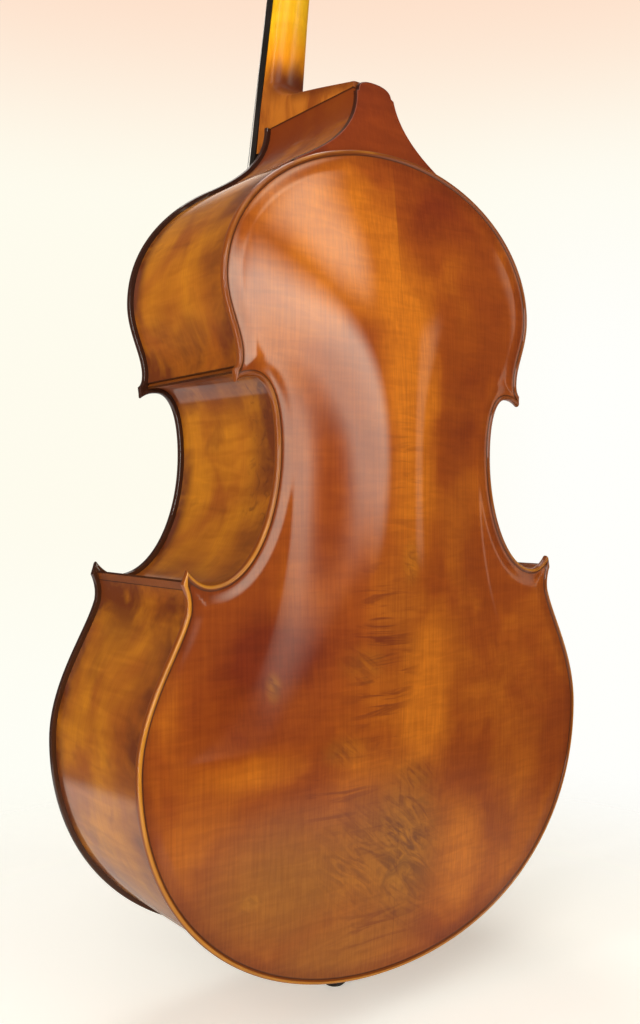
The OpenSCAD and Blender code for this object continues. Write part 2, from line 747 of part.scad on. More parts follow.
module saddle() {
    y = half_depth;
    color("#241f1d") at_body() across(saddle_w) polygon([
        [-y, 0.5], [-y, saddle_d], [-y - edge_t - 2, saddle_d], [saddle_y + 3, 10], [saddle_y, 6],
        [saddle_y, 3], [saddle_y + 3, 0.5]]);
}

// Strings: ball end behind the tailpiece, over the bridge and the nut, and wound on the roller

string_names = ["e", "g", "a", "d"];
string_r = [1.35, 0.6, 1.05, 0.8];
string_place = [0, 3, 1, 2];
// Turns of a string on its roller, the room between them, and the ball at its other end
turns = 3;
turn_gap = 0.6;
ring_step = 15;
ball_r = 4.2;

// Points of a winding, counted from where the string meets its roller
function winding(i) = let (
    r = string_r[i],
    reach = roller_r + string_gap + r,
    step = 2 * r + turn_gap,
    side = string_place[i] < 2 ? -1 : 1,
    start = side * 2)
    [for (a = [0:ring_step:360 * turns]) [
        start + side * step * a / 360,
        roller_y - reach * cos(a),
        neck_l + first_roller_z + i * roller_step + reach * sin(a)]];

// Least gap of a winding to itself, measured between points half a turn or more apart
function own_gap(p, r) = let (apart = 180 / ring_step)
    min([for (i = [0:len(p) - 1 - apart]) for (j = [i + apart:len(p) - 1]) norm(p[i] - p[j])]) - 2 * r;

function string_path(i) = let (
    r = string_r[i],
    k = string_x[string_place[i]],
    hole = tail_l - tail_hole_in,
    front = sag(k * tail_gap, tail_r),
    bridge_y = bridge_top_y + sag(k * bridge_gap, bridge_r) - r - 2 * string_gap,
    nut_y = -board_t - nut_rise + sag(k * nut_gap, board_r) - r - string_gap,
    crown_z = body_z + bridge_z - bridge_foot_t / 2) concat(
    [for (y = [9.5, 8, 5, 2.4, 1]) tail_pt([k * tail_gap, tail_t + y, hole])],
    [tail_pt([k * tail_gap, front + 3, hole]), tail_pt([k * tail_gap, front - 0.5, hole + 0.6])],
    [tail_pt([k * tail_gap, front - r - 0.8, hole + tail_hole_r])],
    [for (z = [0.5, bridge_top_t - 0.5]) [k * bridge_gap, bridge_y, crown_z + z]],
    [for (z = [-nut_t + 0.5, 0]) neck_pt([k * nut_gap, nut_y, neck_l + z])],
    [for (p = winding(i)) neck_pt(p)]);

module string(i) {
    path = string_path(i);
    r = string_r[i];
    ball = [0.5, 0.8, 1, 0.8];
    radii = [for (n = [0:len(path) - 1]) n < 4 ? ball[n] * ball_r : r];
    echo(str("least gap of winding ", string_names[i], ": ", own_gap(winding(i), r), " mm"));
    color("silver") tube(path, radii, 6);
}

module string_e() { string(0); }

module string_g() { string(1); }

module string_a() { string(2); }

module string_d() { string(3); }

// End pin, along Z

module endpin_socket() {
    z = body_z + overhang;
    color("#2a211d") difference() {
        union() {
            translate([0, 0, z - flange_t - groove_h]) cylinder(r = groove_r, h = groove_h);
            translate([0, 0, z - flange_t]) cylinder(r = flange_r, h = flange_t);
            translate([0, 0, z]) cylinder(r = plug_r, h = end_block_h - overhang);
        }
        translate([0, 0, z - flange_t - groove_h - 1]) cylinder(r = rod_r + run_fit, h = 2 * end_block_h);
    }
}

module thumb_place() {
    translate([0, 0, foot_h + foot_gap + collar_h / 2]) rotate([90, 0, 0]) children();
}

module endpin_collar() {
    color("silver") difference() {
        translate([0, 0, foot_h + foot_gap]) cylinder(r = collar_r, h = collar_h);
        translate([0, 0, foot_h]) cylinder(r = rod_r + run_fit, h = 2 * collar_h);
        thumb_place() cylinder(r = screw_r + run_fit, h = 2 * collar_r);
    }
}

// How deep the rod sits in the rubber foot
foot_cup = 14;
// Free space between the screw's tip and the rod
screw_gap = 0.2;
// Length of the thumb screw's head, its distance from the collar, and the radius of its grip grooves
thumb_l = 10;
thumb_gap = 3;
grip_r = 1;

module endpin_rod() {
    color("silver") translate([0, 0, foot_h - foot_cup]) cylinder(r = rod_r, h = rod_l);
}

module endpin_foot() {
    bevel = 3;
    color("#1b1b1c") difference() {
        rotate_extrude() polygon([
            [0, 0], [foot_r - bevel, 0], [foot_r, bevel], [foot_r, foot_h - bevel], [foot_r - bevel, foot_h],
            [0, foot_h]]);
        translate([0, 0, foot_h - foot_cup]) cylinder(r = rod_r, h = foot_cup + 1);
    }
}

module thumb_screw() {
    start = rod_r + run_fit + screw_gap;
    head_at = collar_r + thumb_gap;
    color("silver") thumb_place() {
        translate([0, 0, start]) cylinder(r = screw_r, h = head_at - start + thumb_l / 2);
        difference() {
            translate([0, 0, head_at]) cylinder(r = thumb_r, h = thumb_l);
            for (a = [0:30:330]) rotate([0, 0, a]) translate([thumb_r, 0, head_at - 1])
                cylinder(r = grip_r, h = thumb_l + 2);
        }
    }
}

// Tuning machines: x points out of the cheek, and the roller's axis is x

wheel_r = wheel_teeth * worm_pitch / (2 * PI);
centre_gap = wheel_r + worm_r;
// Height of a tooth above and below the pitch line, and the free space at its root
tooth = 1;
tooth_gap = 0.4;
// Half widths of a tooth at its root and at its tip, and how far its root is sunk into its core
tooth_root = 0.9;
tooth_tip = 0.4;
tooth_sink = 0.5;
worm_core_r = worm_r - tooth - tooth_gap;
// Free space between the worm and the plate
worm_gap = 0.8;
wheel_x = cheek_x + machine_t + worm_gap + worm_r + tooth;
// Bearings of the worm: their places, thickness, height and wall beyond the shaft
bearing_y = 12;
bearing_t = 5;
bearing_h = 12;
bearing_wall = 2;
// Distance of a key's wing from its worm, and how far the shaft reaches into it
key_y = 46;
key_seat = 4;
machine_side = [-1, 1, -1, 1];

module machine_place(i) {
    neck_frame() translate([0, roller_y, neck_l + first_roller_z + i * roller_step])
        mirror([machine_side[i] < 0 ? 1 : 0, 0, 0]) children();
}

// Distance of a screw from the plate's edge
screw_in = 3;

module machine_screw_places() {
    reach = machine_r - screw_in;
    for (side = [-1, 1]) for (end = [0, 1])
        translate([cheek_x, side * reach * sin(45), end == 0 ? reach * cos(45) : -centre_gap - reach * cos(45)])
            rotate([0, 90, 0]) children();
}

// Radius and depth of a screw in the cheek
pilot_r = 1.2;
pilot_l = 8;

module pilot() {
    translate([0, 0, -pilot_l]) cylinder(r = pilot_r, h = pilot_l + machine_t);
}

module machine_plate(i) {
    color("darkgoldenrod") machine_place(i) difference() {
        union() {
            translate([cheek_x, 0, 0]) rotate([90, 0, 90]) linear_extrude(machine_t) {
                circle(machine_r);
                translate([0, -centre_gap]) circle(machine_r);
                translate([-machine_r, -centre_gap]) square([2 * machine_r, centre_gap]);
            }
            for (side = [-1, 1])
                translate([cheek_x, side * bearing_y - bearing_t / 2, -centre_gap - bearing_h / 2])
                    cube([wheel_x + worm_shaft_r + bearing_wall - cheek_x, bearing_t, bearing_h]);
        }
        rotate([0, 90, 0]) cylinder(r = roller_r + run_fit, h = 2 * cheek_x);
        translate([wheel_x, 0, -centre_gap]) rotate([90, 0, 0])
            cylinder(r = worm_shaft_r + run_fit, h = 4 * bearing_y, center = true);
        machine_screw_places() pilot();
    }
}

// The worm's thread, one tooth of the rack that the wheel rolls on, wound round its core
module worm_thread() {
    step = 22.5;
    half_turns = 1.5 * 360;
    deep = worm_core_r - tooth_sink;
    high = worm_r + tooth;
    loft([for (a = [-half_turns:step:half_turns])
        [for (q = [[deep, tooth_root], [deep, -tooth_root], [high, -tooth_tip], [high, tooth_tip]])
            [q[0] * sin(a), worm_pitch * a / 360 + q[1], q[0] * cos(a)]]]);
}

module tuning_key(i) {
    worm_l = 2 * (bearing_y - bearing_t / 2 - 0.5);
    color("darkgoldenrod") machine_place(i) translate([wheel_x, 0, -centre_gap]) {
        rotate([90, 0, 0]) cylinder(r = worm_core_r, h = worm_l, center = true);
        worm_thread();
        translate([0, -bearing_y - bearing_t, 0]) rotate([-90, 0, 0])
            cylinder(r = worm_shaft_r, h = bearing_y + bearing_t + key_y + key_seat);
        translate([-key_t / 2, key_y, 0]) rotate([90, 0, 90]) linear_extrude(key_t) {
            for (side = [-1, 1]) translate([key_wing / 2, side * key_wing / 2]) circle(key_wing / 2);
            translate([0, -key_wing / 3]) square([key_wing, 2 * key_wing / 3]);
        }
    }
}

module gear_wheel(i) {
    lean = atan(worm_pitch / (2 * PI * worm_r));
    root = wheel_r - tooth - tooth_gap;
    color("gold") machine_place(i) translate([wheel_x, 0, 0]) difference() {
        union() {
            rotate([0, 90, 0]) cylinder(r = root, h = wheel_t, center = true);
            for (k = [0:wheel_teeth - 1]) rotate([360 * (k + 0.5) / wheel_teeth + 180, 0, 0]) rotate([0, 0, -lean])
                rotate([90, 0, 90]) linear_extrude(wheel_t, center = true) polygon([
                    [-tooth_root, root - tooth_sink], [tooth_root, root - tooth_sink],
                    [tooth_tip, wheel_r + tooth], [-tooth_tip, wheel_r + tooth]]);
        }
        rotate([0, 90, 0]) cylinder(r = spindle_r, h = 2 * wheel_t, center = true);
    }
}

// Radius of the roller's end in its gear wheel, and how far it stands out
spindle_r = 4;
spindle_end = 1.5;

module string_roller(i) {
    inner = wheel_x - wheel_t / 2;
    color("silver") machine_place(i) rotate([0, 90, 0]) {
        translate([0, 0, -cheek_x]) cylinder(r = roller_r, h = cheek_x + inner);
        translate([0, 0, inner]) cylinder(r = spindle_r, h = wheel_t + spindle_end);
    }
}

module machine_screws() {
    head_r = 2.4;
    head_t = 1.4;
    color("gold") for (i = [0:3]) machine_place(i) machine_screw_places() {
        pilot();
        translate([0, 0, machine_t]) cylinder(r = head_r, h = head_t);
    }
}

module machine_plate_e() { machine_plate(0); }

module machine_plate_g() { machine_plate(1); }

module machine_plate_a() { machine_plate(2); }

module machine_plate_d() { machine_plate(3); }

module tuning_key_e() { tuning_key(0); }

module tuning_key_g() { tuning_key(1); }

module tuning_key_a() { tuning_key(2); }

module tuning_key_d() { tuning_key(3); }

module gear_wheel_e() { gear_wheel(0); }

module gear_wheel_g() { gear_wheel(1); }

module gear_wheel_a() { gear_wheel(2); }

module gear_wheel_d() { gear_wheel(3); }

module string_roller_e() { string_roller(0); }

module string_roller_g() { string_roller(1); }

module string_roller_a() { string_roller(2); }

module string_roller_d() { string_roller(3); }

// Inside pieces that carry the top

// Ends of the bass bar along the body, its depth there, and how far the post stands below the bridge
bar_z0 = 190;
bar_z1 = 800;
bar_end_d = 6;
post_below = 28;

module bass_bar() {
    steps = 16;
    function bar_ring(t) = let (
        z = bar_z0 + (bar_z1 - bar_z0) * t,
        low = inside_y(post_x + bar_w / 2, z, top_arch) - seat_gap,
        high = inside_y(post_x - bar_w / 2, z, top_arch) - seat_gap,
        deep = bar_end_d + (bar_d - bar_end_d) * sin(180 * t))
        [[post_x - bar_w / 2, high, z], [post_x + bar_w / 2, low, z],
            [post_x + bar_w / 2, high - deep, z], [post_x - bar_w / 2, high - deep, z]];
    color("wheat") at_body() mirror([1, 0, 0]) mirror([0, 1, 0])
        loft([for (i = [0:steps]) bar_ring(i / steps)]);
}

module sound_post() {
    z = bridge_z - post_below;
    x = post_x + post_r;
    front = -inside_y(x, z - post_r, top_arch) + seat_gap;
    rear = inside_y(x, z - post_r, back_arch) - seat_gap;
    color("wheat") at_body() translate([post_x, front, z]) rotate([-90, 0, 0]) cylinder(r = post_r, h = rear - front);
}

back_bass();
back_treble();
top_bass();
top_treble();
lower_rib_bass();
lower_rib_treble();
middle_rib_bass();
middle_rib_treble();
upper_rib_bass();
upper_rib_treble();
back_linings();
top_linings();
corner_blocks();
neck_block();
end_block();
bass_bar();
sound_post();
shoulder_cap();
neck();
head();
fingerboard();
nut();
bridge();
tailpiece();
tail_wire();
saddle();
string_e();
string_a();
string_d();
string_g();
endpin_socket();
endpin_collar();
endpin_rod();
endpin_foot();
thumb_screw();
machine_plate_e();
machine_plate_a();
machine_plate_d();
machine_plate_g();
tuning_key_e();
tuning_key_a();
tuning_key_d();
tuning_key_g();
gear_wheel_e();
gear_wheel_a();
gear_wheel_d();
gear_wheel_g();
string_roller_e();
string_roller_a();
string_roller_d();
string_roller_g();
machine_screws();
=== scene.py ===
"""Looks of a double bass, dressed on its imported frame.

The frame is in metres: +Z is up, the strings face -Y, the back faces +Y, and +X is the treble side.
Outline sizes are in millimetres, as on the part's own drawing, and are scaled when a mesh is finished.
"""

import logging
import math
from bisect import bisect_left
from dataclasses import dataclass, field, replace
from enum import Enum
from functools import cache
from typing import Optional, Sequence, Union

import bmesh
import bpy
from mathutils import Matrix, Vector
from mathutils.kdtree import KDTree


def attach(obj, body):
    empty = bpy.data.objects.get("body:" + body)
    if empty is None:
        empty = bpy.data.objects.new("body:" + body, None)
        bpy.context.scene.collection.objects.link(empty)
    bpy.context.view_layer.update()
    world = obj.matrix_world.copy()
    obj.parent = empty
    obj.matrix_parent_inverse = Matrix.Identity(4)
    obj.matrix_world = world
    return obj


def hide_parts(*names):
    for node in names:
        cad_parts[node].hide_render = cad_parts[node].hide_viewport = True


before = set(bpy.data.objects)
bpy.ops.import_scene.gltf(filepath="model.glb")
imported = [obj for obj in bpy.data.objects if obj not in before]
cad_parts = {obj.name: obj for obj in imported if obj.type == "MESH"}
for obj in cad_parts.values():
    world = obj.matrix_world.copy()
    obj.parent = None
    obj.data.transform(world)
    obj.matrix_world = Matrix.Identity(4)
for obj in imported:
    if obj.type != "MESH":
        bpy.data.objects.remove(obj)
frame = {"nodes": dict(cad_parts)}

LOG = logging.getLogger("double_bass")
MM = 0.001
UP = Vector((0, 0, 1))
# Height of the body's bottom edge above the floor, in millimetres
BODY_Z = 55.0
# What the figure of a wood, the joint at a plate's seam and the painted shade in a plate's rim channel
# multiply its colour by
FLAME_SHADE = (0.5, 0.38, 0.28)
GRAIN_SHADE = (0.5, 0.36, 0.26)
HOLLOW_SHADE = (0.5, 0.36, 0.28)
SEAM_SHADE = (0.4, 0.3, 0.25)

BMesh = bmesh.types.BMesh
Vert = bmesh.types.BMVert
Edges = list[bmesh.types.BMEdge]
Finish = bpy.types.Material
Tree = bpy.types.NodeTree
Node = bpy.types.Node
Outputs = bpy.types.NodeOutputs
Socket = bpy.types.NodeSocket
Pair = tuple[float, float]
Place = tuple[float, float, float]
Colour = tuple[float, float, float]
# Pull of each curve of an outline at its start and at its end, across and up
Pulls = tuple[tuple[Pair, Pair], ...]
# A place on a wire, with the radius there
Stop = tuple[Vector, float]
Number = Union[Socket, float]
Tint = Union[Socket, Colour]
Value = Union[Socket, float, Sequence[float]]
# What inputs of a node take, by their places or names
Inputs = dict[Union[int, str], Value]


class Side(Enum):
    """The two sides of the body, by the sign of X."""

    TREBLE = 1
    BASS = -1


class Face(Enum):
    """Which way a plate faces, by the sign of Y."""

    BACK = 1
    TOP = -1


class Slot(Enum):
    """The record's material slots, which new pieces are handed but don't use."""

    BACK = "back"
    RIBS = "ribs"
    TOP = "top"
    NECK = "neck"
    STRINGS = "strings"


def smooth_share(low: float, high: float, value: float) -> float:
    """Eased share, from 0 to 1, of the way from low to high at which a value is."""
    share = min(1.0, max(0.0, (value - low) / (high - low)))
    return share * share * (3.0 - 2.0 * share)


@dataclass(frozen=True)
class Cubic:
    """One cubic curve of a drawing, with two places a point.

    Attributes:
        lead: Point that the curve leaves towards.
        trail: Point that the curve arrives from.
    """

    start: Vector
    lead: Vector
    trail: Vector
    end: Vector

    def point(self, t: float) -> Vector:
        """Place on the curve at share t."""
        s = 1.0 - t
        return (
            s * s * s * self.start + 3 * s * s * t * self.lead
            + 3 * s * t * t * self.trail + t * t * t * self.end
        )

    def way(self, t: float) -> Vector:
        """Unit direction of travel at share t."""
        s = 1.0 - t
        run = (
            s * s * (self.lead - self.start) + 2 * s * t * (self.trail - self.lead)
            + t * t * (self.end - self.trail)
        )
        return run.normalized()

    def length(self, steps: int = 24) -> float:
        """Length of the curve, measured in short straight steps."""
        places = [self.point(k / steps) for k in range(steps + 1)]
        return sum((b - a).length for a, b in zip(places, places[1:]))

    def sample(self, count: int, inset: float = 0.0, first: float = 0.0, last: float = 1.0) -> list[Vector]:
        """Evenly shared points, moved to the left of travel.

        Args:
            count: Number of steps between the points.
            inset: Distance to the left of the curve.
            first: Share at which the points start.
            last: Share at which they end.

        Returns:
            One point more than count.
        """
        points = []
        for k in range(count + 1):
            t = first + (last - first) * k / count
            way = self.way(t)
            points.append(self.point(t) + inset * Vector((-way.y, way.x)))
        return points


def cubic(*points: Pair) -> Cubic:
    """A cubic curve from four plain points."""
    return Cubic(*(Vector(p) for p in points))


def moved(at: Pair, by: Pair) -> Pair:
    """A point of a drawing moved across and up."""
    return at[0] + by[0], at[1] + by[1]


def through(stops: Sequence[Pair], pulls: Pulls) -> list[Cubic]:
    """Curves from each point to the next, by their pulls at start and end, across and up."""
    rows = zip(stops, stops[1:], pulls)
    return [cubic(a, moved(a, leave), moved(b, arrive), b) for a, b, (leave, arrive) in rows]


@dataclass(frozen=True)
class Outline:
    """Half outline of the body: across from the centre line, and up from the bottom edge.

    Attributes:
        low_neck, high_neck: Narrow places by the corners, from their tips.
        low_hook, high_hook: Ends of the waist, from the same tips.
        low_turn, high_turn: Places where the waist leaves its hooks, from its start and from the tip.
        back_pull: Pull of the back's round top at the upper bout.
        roundness: Share of the half width along which that top stays high.
        body_top: Height of the neck joint.
        fullness: Roundness of the bottom.
    """

    lower_bout: float = 340.0
    waist: float = 169.0
    upper_bout: float = 240.0
    lower_bout_z: float = 285.0
    waist_z: float = 622.0
    upper_bout_z: float = 805.0
    low_tip: Pair = (288.0, 476.0)
    low_neck: Pair = (-5.0, -30.0)
    low_hook: Pair = (-6.0, 15.0)
    low_turn: Pair = (-28.0, -16.5)
    high_tip: Pair = (225.5, 704.0)
    high_neck: Pair = (-6.0, 15.0)
    high_hook: Pair = (-2.5, -13.5)
    high_turn: Pair = (-25.5, -6.0)
    back_top: float = 978.0
    back_pull: float = 95.0
    roundness: float = 0.56
    shoulder_at: Pair = (125.0, 964.0)
    body_top: float = 1066.0
    slope_end: float = 36.0
    fullness: float = 0.587
    low_pulls: Pulls = (((0, 67), (11, -38)), ((-2, 11), (-4, -8)))
    waist_pulls: Pulls = (
        ((-5, -7), (12, 0)), ((-49, 0), (0, -77)), ((0, 42), (-22, 0)), ((10, 0), (-6, 4.5)),
    )
    bout_pulls: Pulls = (((-4.5, 3), (0, -7)), ((0, 26), (0, -35)))
    shoulder_pulls: Pulls = (((0, 75), (55, -30)), ((-46.75, 25.5), (0, -46)))
    step: float = 5.0

    def lower_curves(self) -> list[Cubic]:
        """Bottom, flank and corner of the lower bout."""
        lb, lz = self.lower_bout, self.lower_bout_z
        bottom = cubic((0, 0), (self.fullness * lb, 0), (lb, (1 - self.fullness) * lz), (lb, lz))
        stops = ((lb, lz), moved(self.low_tip, self.low_neck), self.low_tip)
        return [bottom] + through(stops, self.low_pulls)

    def waist_curves(self) -> list[Cubic]:
        """The waist between its two hooks."""
        start = moved(self.low_tip, self.low_hook)
        high, end = moved(self.high_tip, self.high_turn), moved(self.high_tip, self.high_hook)
        stops = (start, moved(start, self.low_turn), (self.waist, self.waist_z), high, end)
        return through(stops, self.waist_pulls)

    def bout_curves(self) -> list[Cubic]:
        """Corner and flank of the upper bout, up to its widest line."""
        stops = (self.high_tip, moved(self.high_tip, self.high_neck), (self.upper_bout, self.upper_bout_z))
        return through(stops, self.bout_pulls)

    def shoulder_curves(self) -> list[Cubic]:
        """Shoulder and the hollow slope up to the neck joint."""
        bout = (self.upper_bout, self.upper_bout_z)
        return through((bout, self.shoulder_at, (self.slope_end, self.body_top)), self.shoulder_pulls)

    def back_turn(self) -> Cubic:
        """The back's round top."""
        ub, uz, top = self.upper_bout, self.upper_bout_z, self.back_top
        return cubic((ub, uz), (ub, uz + self.back_pull), (self.roundness * ub, top), (0, top))

    def top_edge(self) -> Cubic:
        """The top plate's straight edge under the neck."""
        x, z = self.slope_end, self.body_top
        return cubic((x, z), (x * 2 / 3, z), (x / 3, z), (0, z))

    def runs(self, face: Face) -> list[list[Cubic]]:
        """Curves of a plate's half outline, broken where a corner's tip is cut off.

        Args:
            face: The plate that the outline is for.

        Returns:
            Lists of curves that carry on from each other.
        """
        if face is Face.BACK:
            return [self.lower_curves(), self.waist_curves(), self.bout_curves() + [self.back_turn()]]
        upper = self.bout_curves() + self.shoulder_curves()
        return [self.lower_curves(), self.waist_curves(), upper, [self.top_edge()]]

    def line(
        self, runs: Sequence[Sequence[Cubic]], inset: float, step: Optional[float] = None
    ) -> list[Vector]:
        """Points along runs of curves, kept as far from the cut tips as from the curves.

        Args:
            runs: Lists of curves that carry on from each other.
            inset: Distance inside the curves.
            step: Length of a step, or the outline's own.

        Returns:
            The points in order.
        """
        points: list[Vector] = []
        for n, run in enumerate(runs):
            for m, curve in enumerate(run):
                length = curve.length()
                first = inset / length if n > 0 and m == 0 else 0.0
                last = 1.0 - inset / length if n < len(runs) - 1 and m == len(run) - 1 else 1.0
                count = max(4, round(length / (step or self.step)))
                samples = curve.sample(count, inset, first, last)
                points += samples if m == 0 else samples[1:]
        return points


@dataclass
class Arch:
    """Height of a carved plate above its edge.

    Attributes:
        rim: Distance of the arch's foot from the outline.
        swell: Power of its cross section: more gives a wider hollow along the edge.
        reach: Pull of its foot's line at the lower bout, and below and above the narrowest place.
        crest_powers: Powers of its fall towards the ends, and of its rounding along them.
    """

    outline: Outline
    rise: float
    rim: float = 18.0
    crest_z: float = 582.0
    swell: float = 1.25
    narrow_z: float = 622.0
    reach: tuple[float, float, float] = (95.0, 172.0, 78.0)
    high_pulls: Pair = (80.0, 90.0)
    crest_powers: Pair = (2.2, 1.25)
    steps: int = 160
    rows: list[Vector] = field(init=False)
    heights: list[float] = field(init=False)

    def __post_init__(self) -> None:
        """Lays out the arch's half widths along the body."""
        o, c = self.outline, self.rim
        lb, wx, ub = o.lower_bout - c, o.waist - c, o.upper_bout - c
        lz, nz, uz, top = o.lower_bout_z, self.narrow_z, o.upper_bout_z, o.back_top - c
        foot = (1 - o.fullness) * lz + c
        low_pull, waist_pull, high_pull = self.reach
        under, over = self.high_pulls
        curves = [
            cubic((0, c), (o.fullness * lb, c), (lb, foot), (lb, lz)),
            cubic((lb, lz), (lb, lz + low_pull), (wx, nz - waist_pull), (wx, nz)),
            cubic((wx, nz), (wx, nz + high_pull), (ub, uz - under), (ub, uz)),
            cubic((ub, uz), (ub, uz + over), (o.roundness * ub, top), (0, top)),
        ]
        self.rows = [p for curve in curves for p in curve.sample(self.steps)[:-1]] + [curves[-1].end]
        self.heights = [p.y for p in self.rows]

    def half_width(self, z: float) -> float:
        """Half width of the arch at one height on the body."""
        k = min(max(bisect_left(self.heights, z), 1), len(self.rows) - 1)
        low, high = self.rows[k - 1], self.rows[k]
        share = min(1.0, max(0.0, (z - low.y) / max(high.y - low.y, 1e-9)))
        return low.x + (high.x - low.x) * share

    def lift(self, x: float, z: float) -> float:
        """Height of the arch above its foot.

        Args:
            x: Distance from the centre line.
            z: Height on the body.

        Returns:
            The height, and 0 outside the arch.
        """
        span = self.crest_z - self.rim
        if z >= self.crest_z:
            span = self.outline.back_top - self.rim - self.crest_z
        fall, rounding = self.crest_powers
        crest = 1.0 - abs((z - self.crest_z) / span) ** fall
        share = abs(x) / max(self.half_width(z), 1e-6)
        if crest <= 0.0 or share >= 1.0:
            return 0.0
        return self.rise * crest ** rounding * (1.0 - share * share) ** self.swell


def linked(name: str, data: bpy.types.ID) -> bpy.types.Object:
    """A new object in the scene."""
    made = bpy.data.objects.new(name, data)
    bpy.context.scene.collection.objects.link(made)
    return made


def settled(name: str, bm: BMesh) -> bpy.types.Mesh:
    """A new mesh from one that was being made, which is freed."""
    mesh = bpy.data.meshes.new(name)
    bm.to_mesh(mesh)
    bm.free()
    return mesh


def heading(azimuth: float, rise: float) -> Vector:
    """Direction by its degrees from +Y towards +X and its degrees above the horizon."""
    a, e = math.radians(azimuth), math.radians(rise)
    return Vector((math.sin(a) * math.cos(e), math.cos(a) * math.cos(e), math.sin(e)))


class Workbench:
    """Operators that more than one piece is made with."""

    @staticmethod
    def chain(bm: BMesh, places: Sequence[Vector], closed: bool = False) -> Edges:
        """Edges through places in order.

        Args:
            bm: The mesh being made.
            places: The points.
            closed: Whether the last point joins the first.

        Returns:
            The new edges.
        """
        verts = [bm.verts.new(p) for p in places]
        edges = [bm.edges.new(pair) for pair in zip(verts, verts[1:])]
        if closed:
            edges.append(bm.edges.new((verts[-1], verts[0])))
        return edges

    @staticmethod
    def skin(bm: BMesh, rings: Sequence[Edges], capped: bool = False) -> None:
        """A skin from each ring of edges to the next.

        Args:
            bm: The mesh being made.
            rings: The rings in order.
            capped: Whether the first and last ring are closed with a face.
        """
        for a, b in zip(rings, rings[1:]):
            bmesh.ops.bridge_loops(bm, edges=a + b)
        if capped:
            bmesh.ops.edgeloop_fill(bm, edges=rings[0])
            bmesh.ops.edgeloop_fill(bm, edges=rings[-1])

    @staticmethod
    def verts_of(edges: Edges) -> set[Vert]:
        """Points of some edges."""
        return {v for e in edges for v in e.verts}

    @staticmethod
    def prism(bm: BMesh, places: Sequence[Vector], way: Sequence[float]) -> Edges:
        """A solid between a flat outline and the same outline moved along.

        Args:
            bm: The mesh being made.
            places: The outline's points.
            way: How far the outline moves.

        Returns:
            Edges of the first outline.
        """
        loop = Workbench.chain(bm, places, closed=True)
        face = bmesh.ops.edgeloop_fill(bm, edges=loop)["faces"]
        made = bmesh.ops.extrude_face_region(bm, geom=face)["geom"]
        far = [part for part in made if isinstance(part, Vert)]
        bmesh.ops.translate(bm, verts=far, vec=way)
        return loop

    @staticmethod
    def half_round(front: Vector, back: Vector, half: float, power: float, steps: int) -> list[Vector]:
        """A section with a flat front and a rounded back.

        Args:
            front: Middle of its front edge, along Y and up.
            back: Middle of its back.
            half: Its half width.
            power: Power of its rounding: 1 is an ellipse, less is squarer.
            steps: Steps round it.

        Returns:
            Its points.
        """
        points = []
        for k in range(steps + 1):
            a = math.pi * k / steps
            x = half * math.copysign(abs(math.cos(a)) ** power, math.cos(a))
            way = front + (back - front) * abs(math.sin(a)) ** power
            points.append(Vector((x, way.x, way.y)))
        return points

    @staticmethod
    def cut(bm: BMesh, tool: BMesh) -> BMesh:
        """A mesh with the space of another taken away.

        Args:
            bm: The mesh, which is freed.
            tool: The space to take away, which is freed.

        Returns:
            The mesh that is left.
        """
        parts = (("cut_stock", bm), ("cut_tool", tool))
        pair = [linked(name, settled(name, part)) for name, part in parts]
        take = pair[0].modifiers.new("take", "BOOLEAN")
        take.operation = "DIFFERENCE"
        take.solver = "EXACT"
        take.object = pair[1]
        left = bmesh.new()
        left.from_object(pair[0], bpy.context.evaluated_depsgraph_get())
        for piece in pair:
            mesh = piece.data
            bpy.data.objects.remove(piece)
            bpy.data.meshes.remove(mesh)
        return left

    @staticmethod
    def to_metres(bm: BMesh, turn: Matrix = Matrix(), lift: float = BODY_Z) -> None:
        """Turns a mesh, lifts it by millimetres and takes it to the object's frame in metres."""
        place = Matrix.Scale(MM, 4) @ Matrix.Translation((0, 0, lift)) @ turn
        bmesh.ops.transform(bm, matrix=place, verts=bm.verts)

    @staticmethod
    def lean(mesh: bpy.types.Mesh, least: float = 0.8) -> None:
        """Gives a carved face the normals of its own formula, which its squares only come near.

        Args:
            mesh: The mesh, whose "lean" layer holds those normals and is used up.
            least: How far a normal has to agree with its face's own.
        """
        layer = mesh.attributes.get("lean")
        if layer is None:
            return
        ways = [Vector(row.vector) for row in layer.data]
        normals = []
        for face in mesh.polygons:
            for k in face.vertices:
                normals.append(ways[k] if ways[k].dot(face.normal) > least else Vector())
        mesh.attributes.remove(layer)
        mesh.normals_split_custom_set(normals)

    @staticmethod
    def finish(
        bm: BMesh, name: str, slot: Slot, finish: Finish, node: str, sharp: float = 38.0
    ) -> bpy.types.Object:
        """Turns a mesh in metres into a dressed piece that rides on the body.

        Args:
            bm: The mesh, which is freed.
            name: Name of the piece.
            slot: Material slot in the record. Not used.
            finish: Material of the piece.
            node: CAD node that it stands for.
            sharp: Angle in degrees past which an edge stays crisp.

        Returns:
            The new object.
        """
        bmesh.ops.recalc_face_normals(bm, faces=bm.faces)
        mesh = settled(name, bm)
        mesh.shade_smooth()
        mesh.set_sharp_from_angle(angle=math.radians(sharp))
        Workbench.lean(mesh)
        mesh.materials.append(finish)
        piece = linked(name, mesh)
        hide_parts(node)
        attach(piece, "body")
        LOG.info("%s: %d faces on body", name, len(mesh.polygons))
        return piece


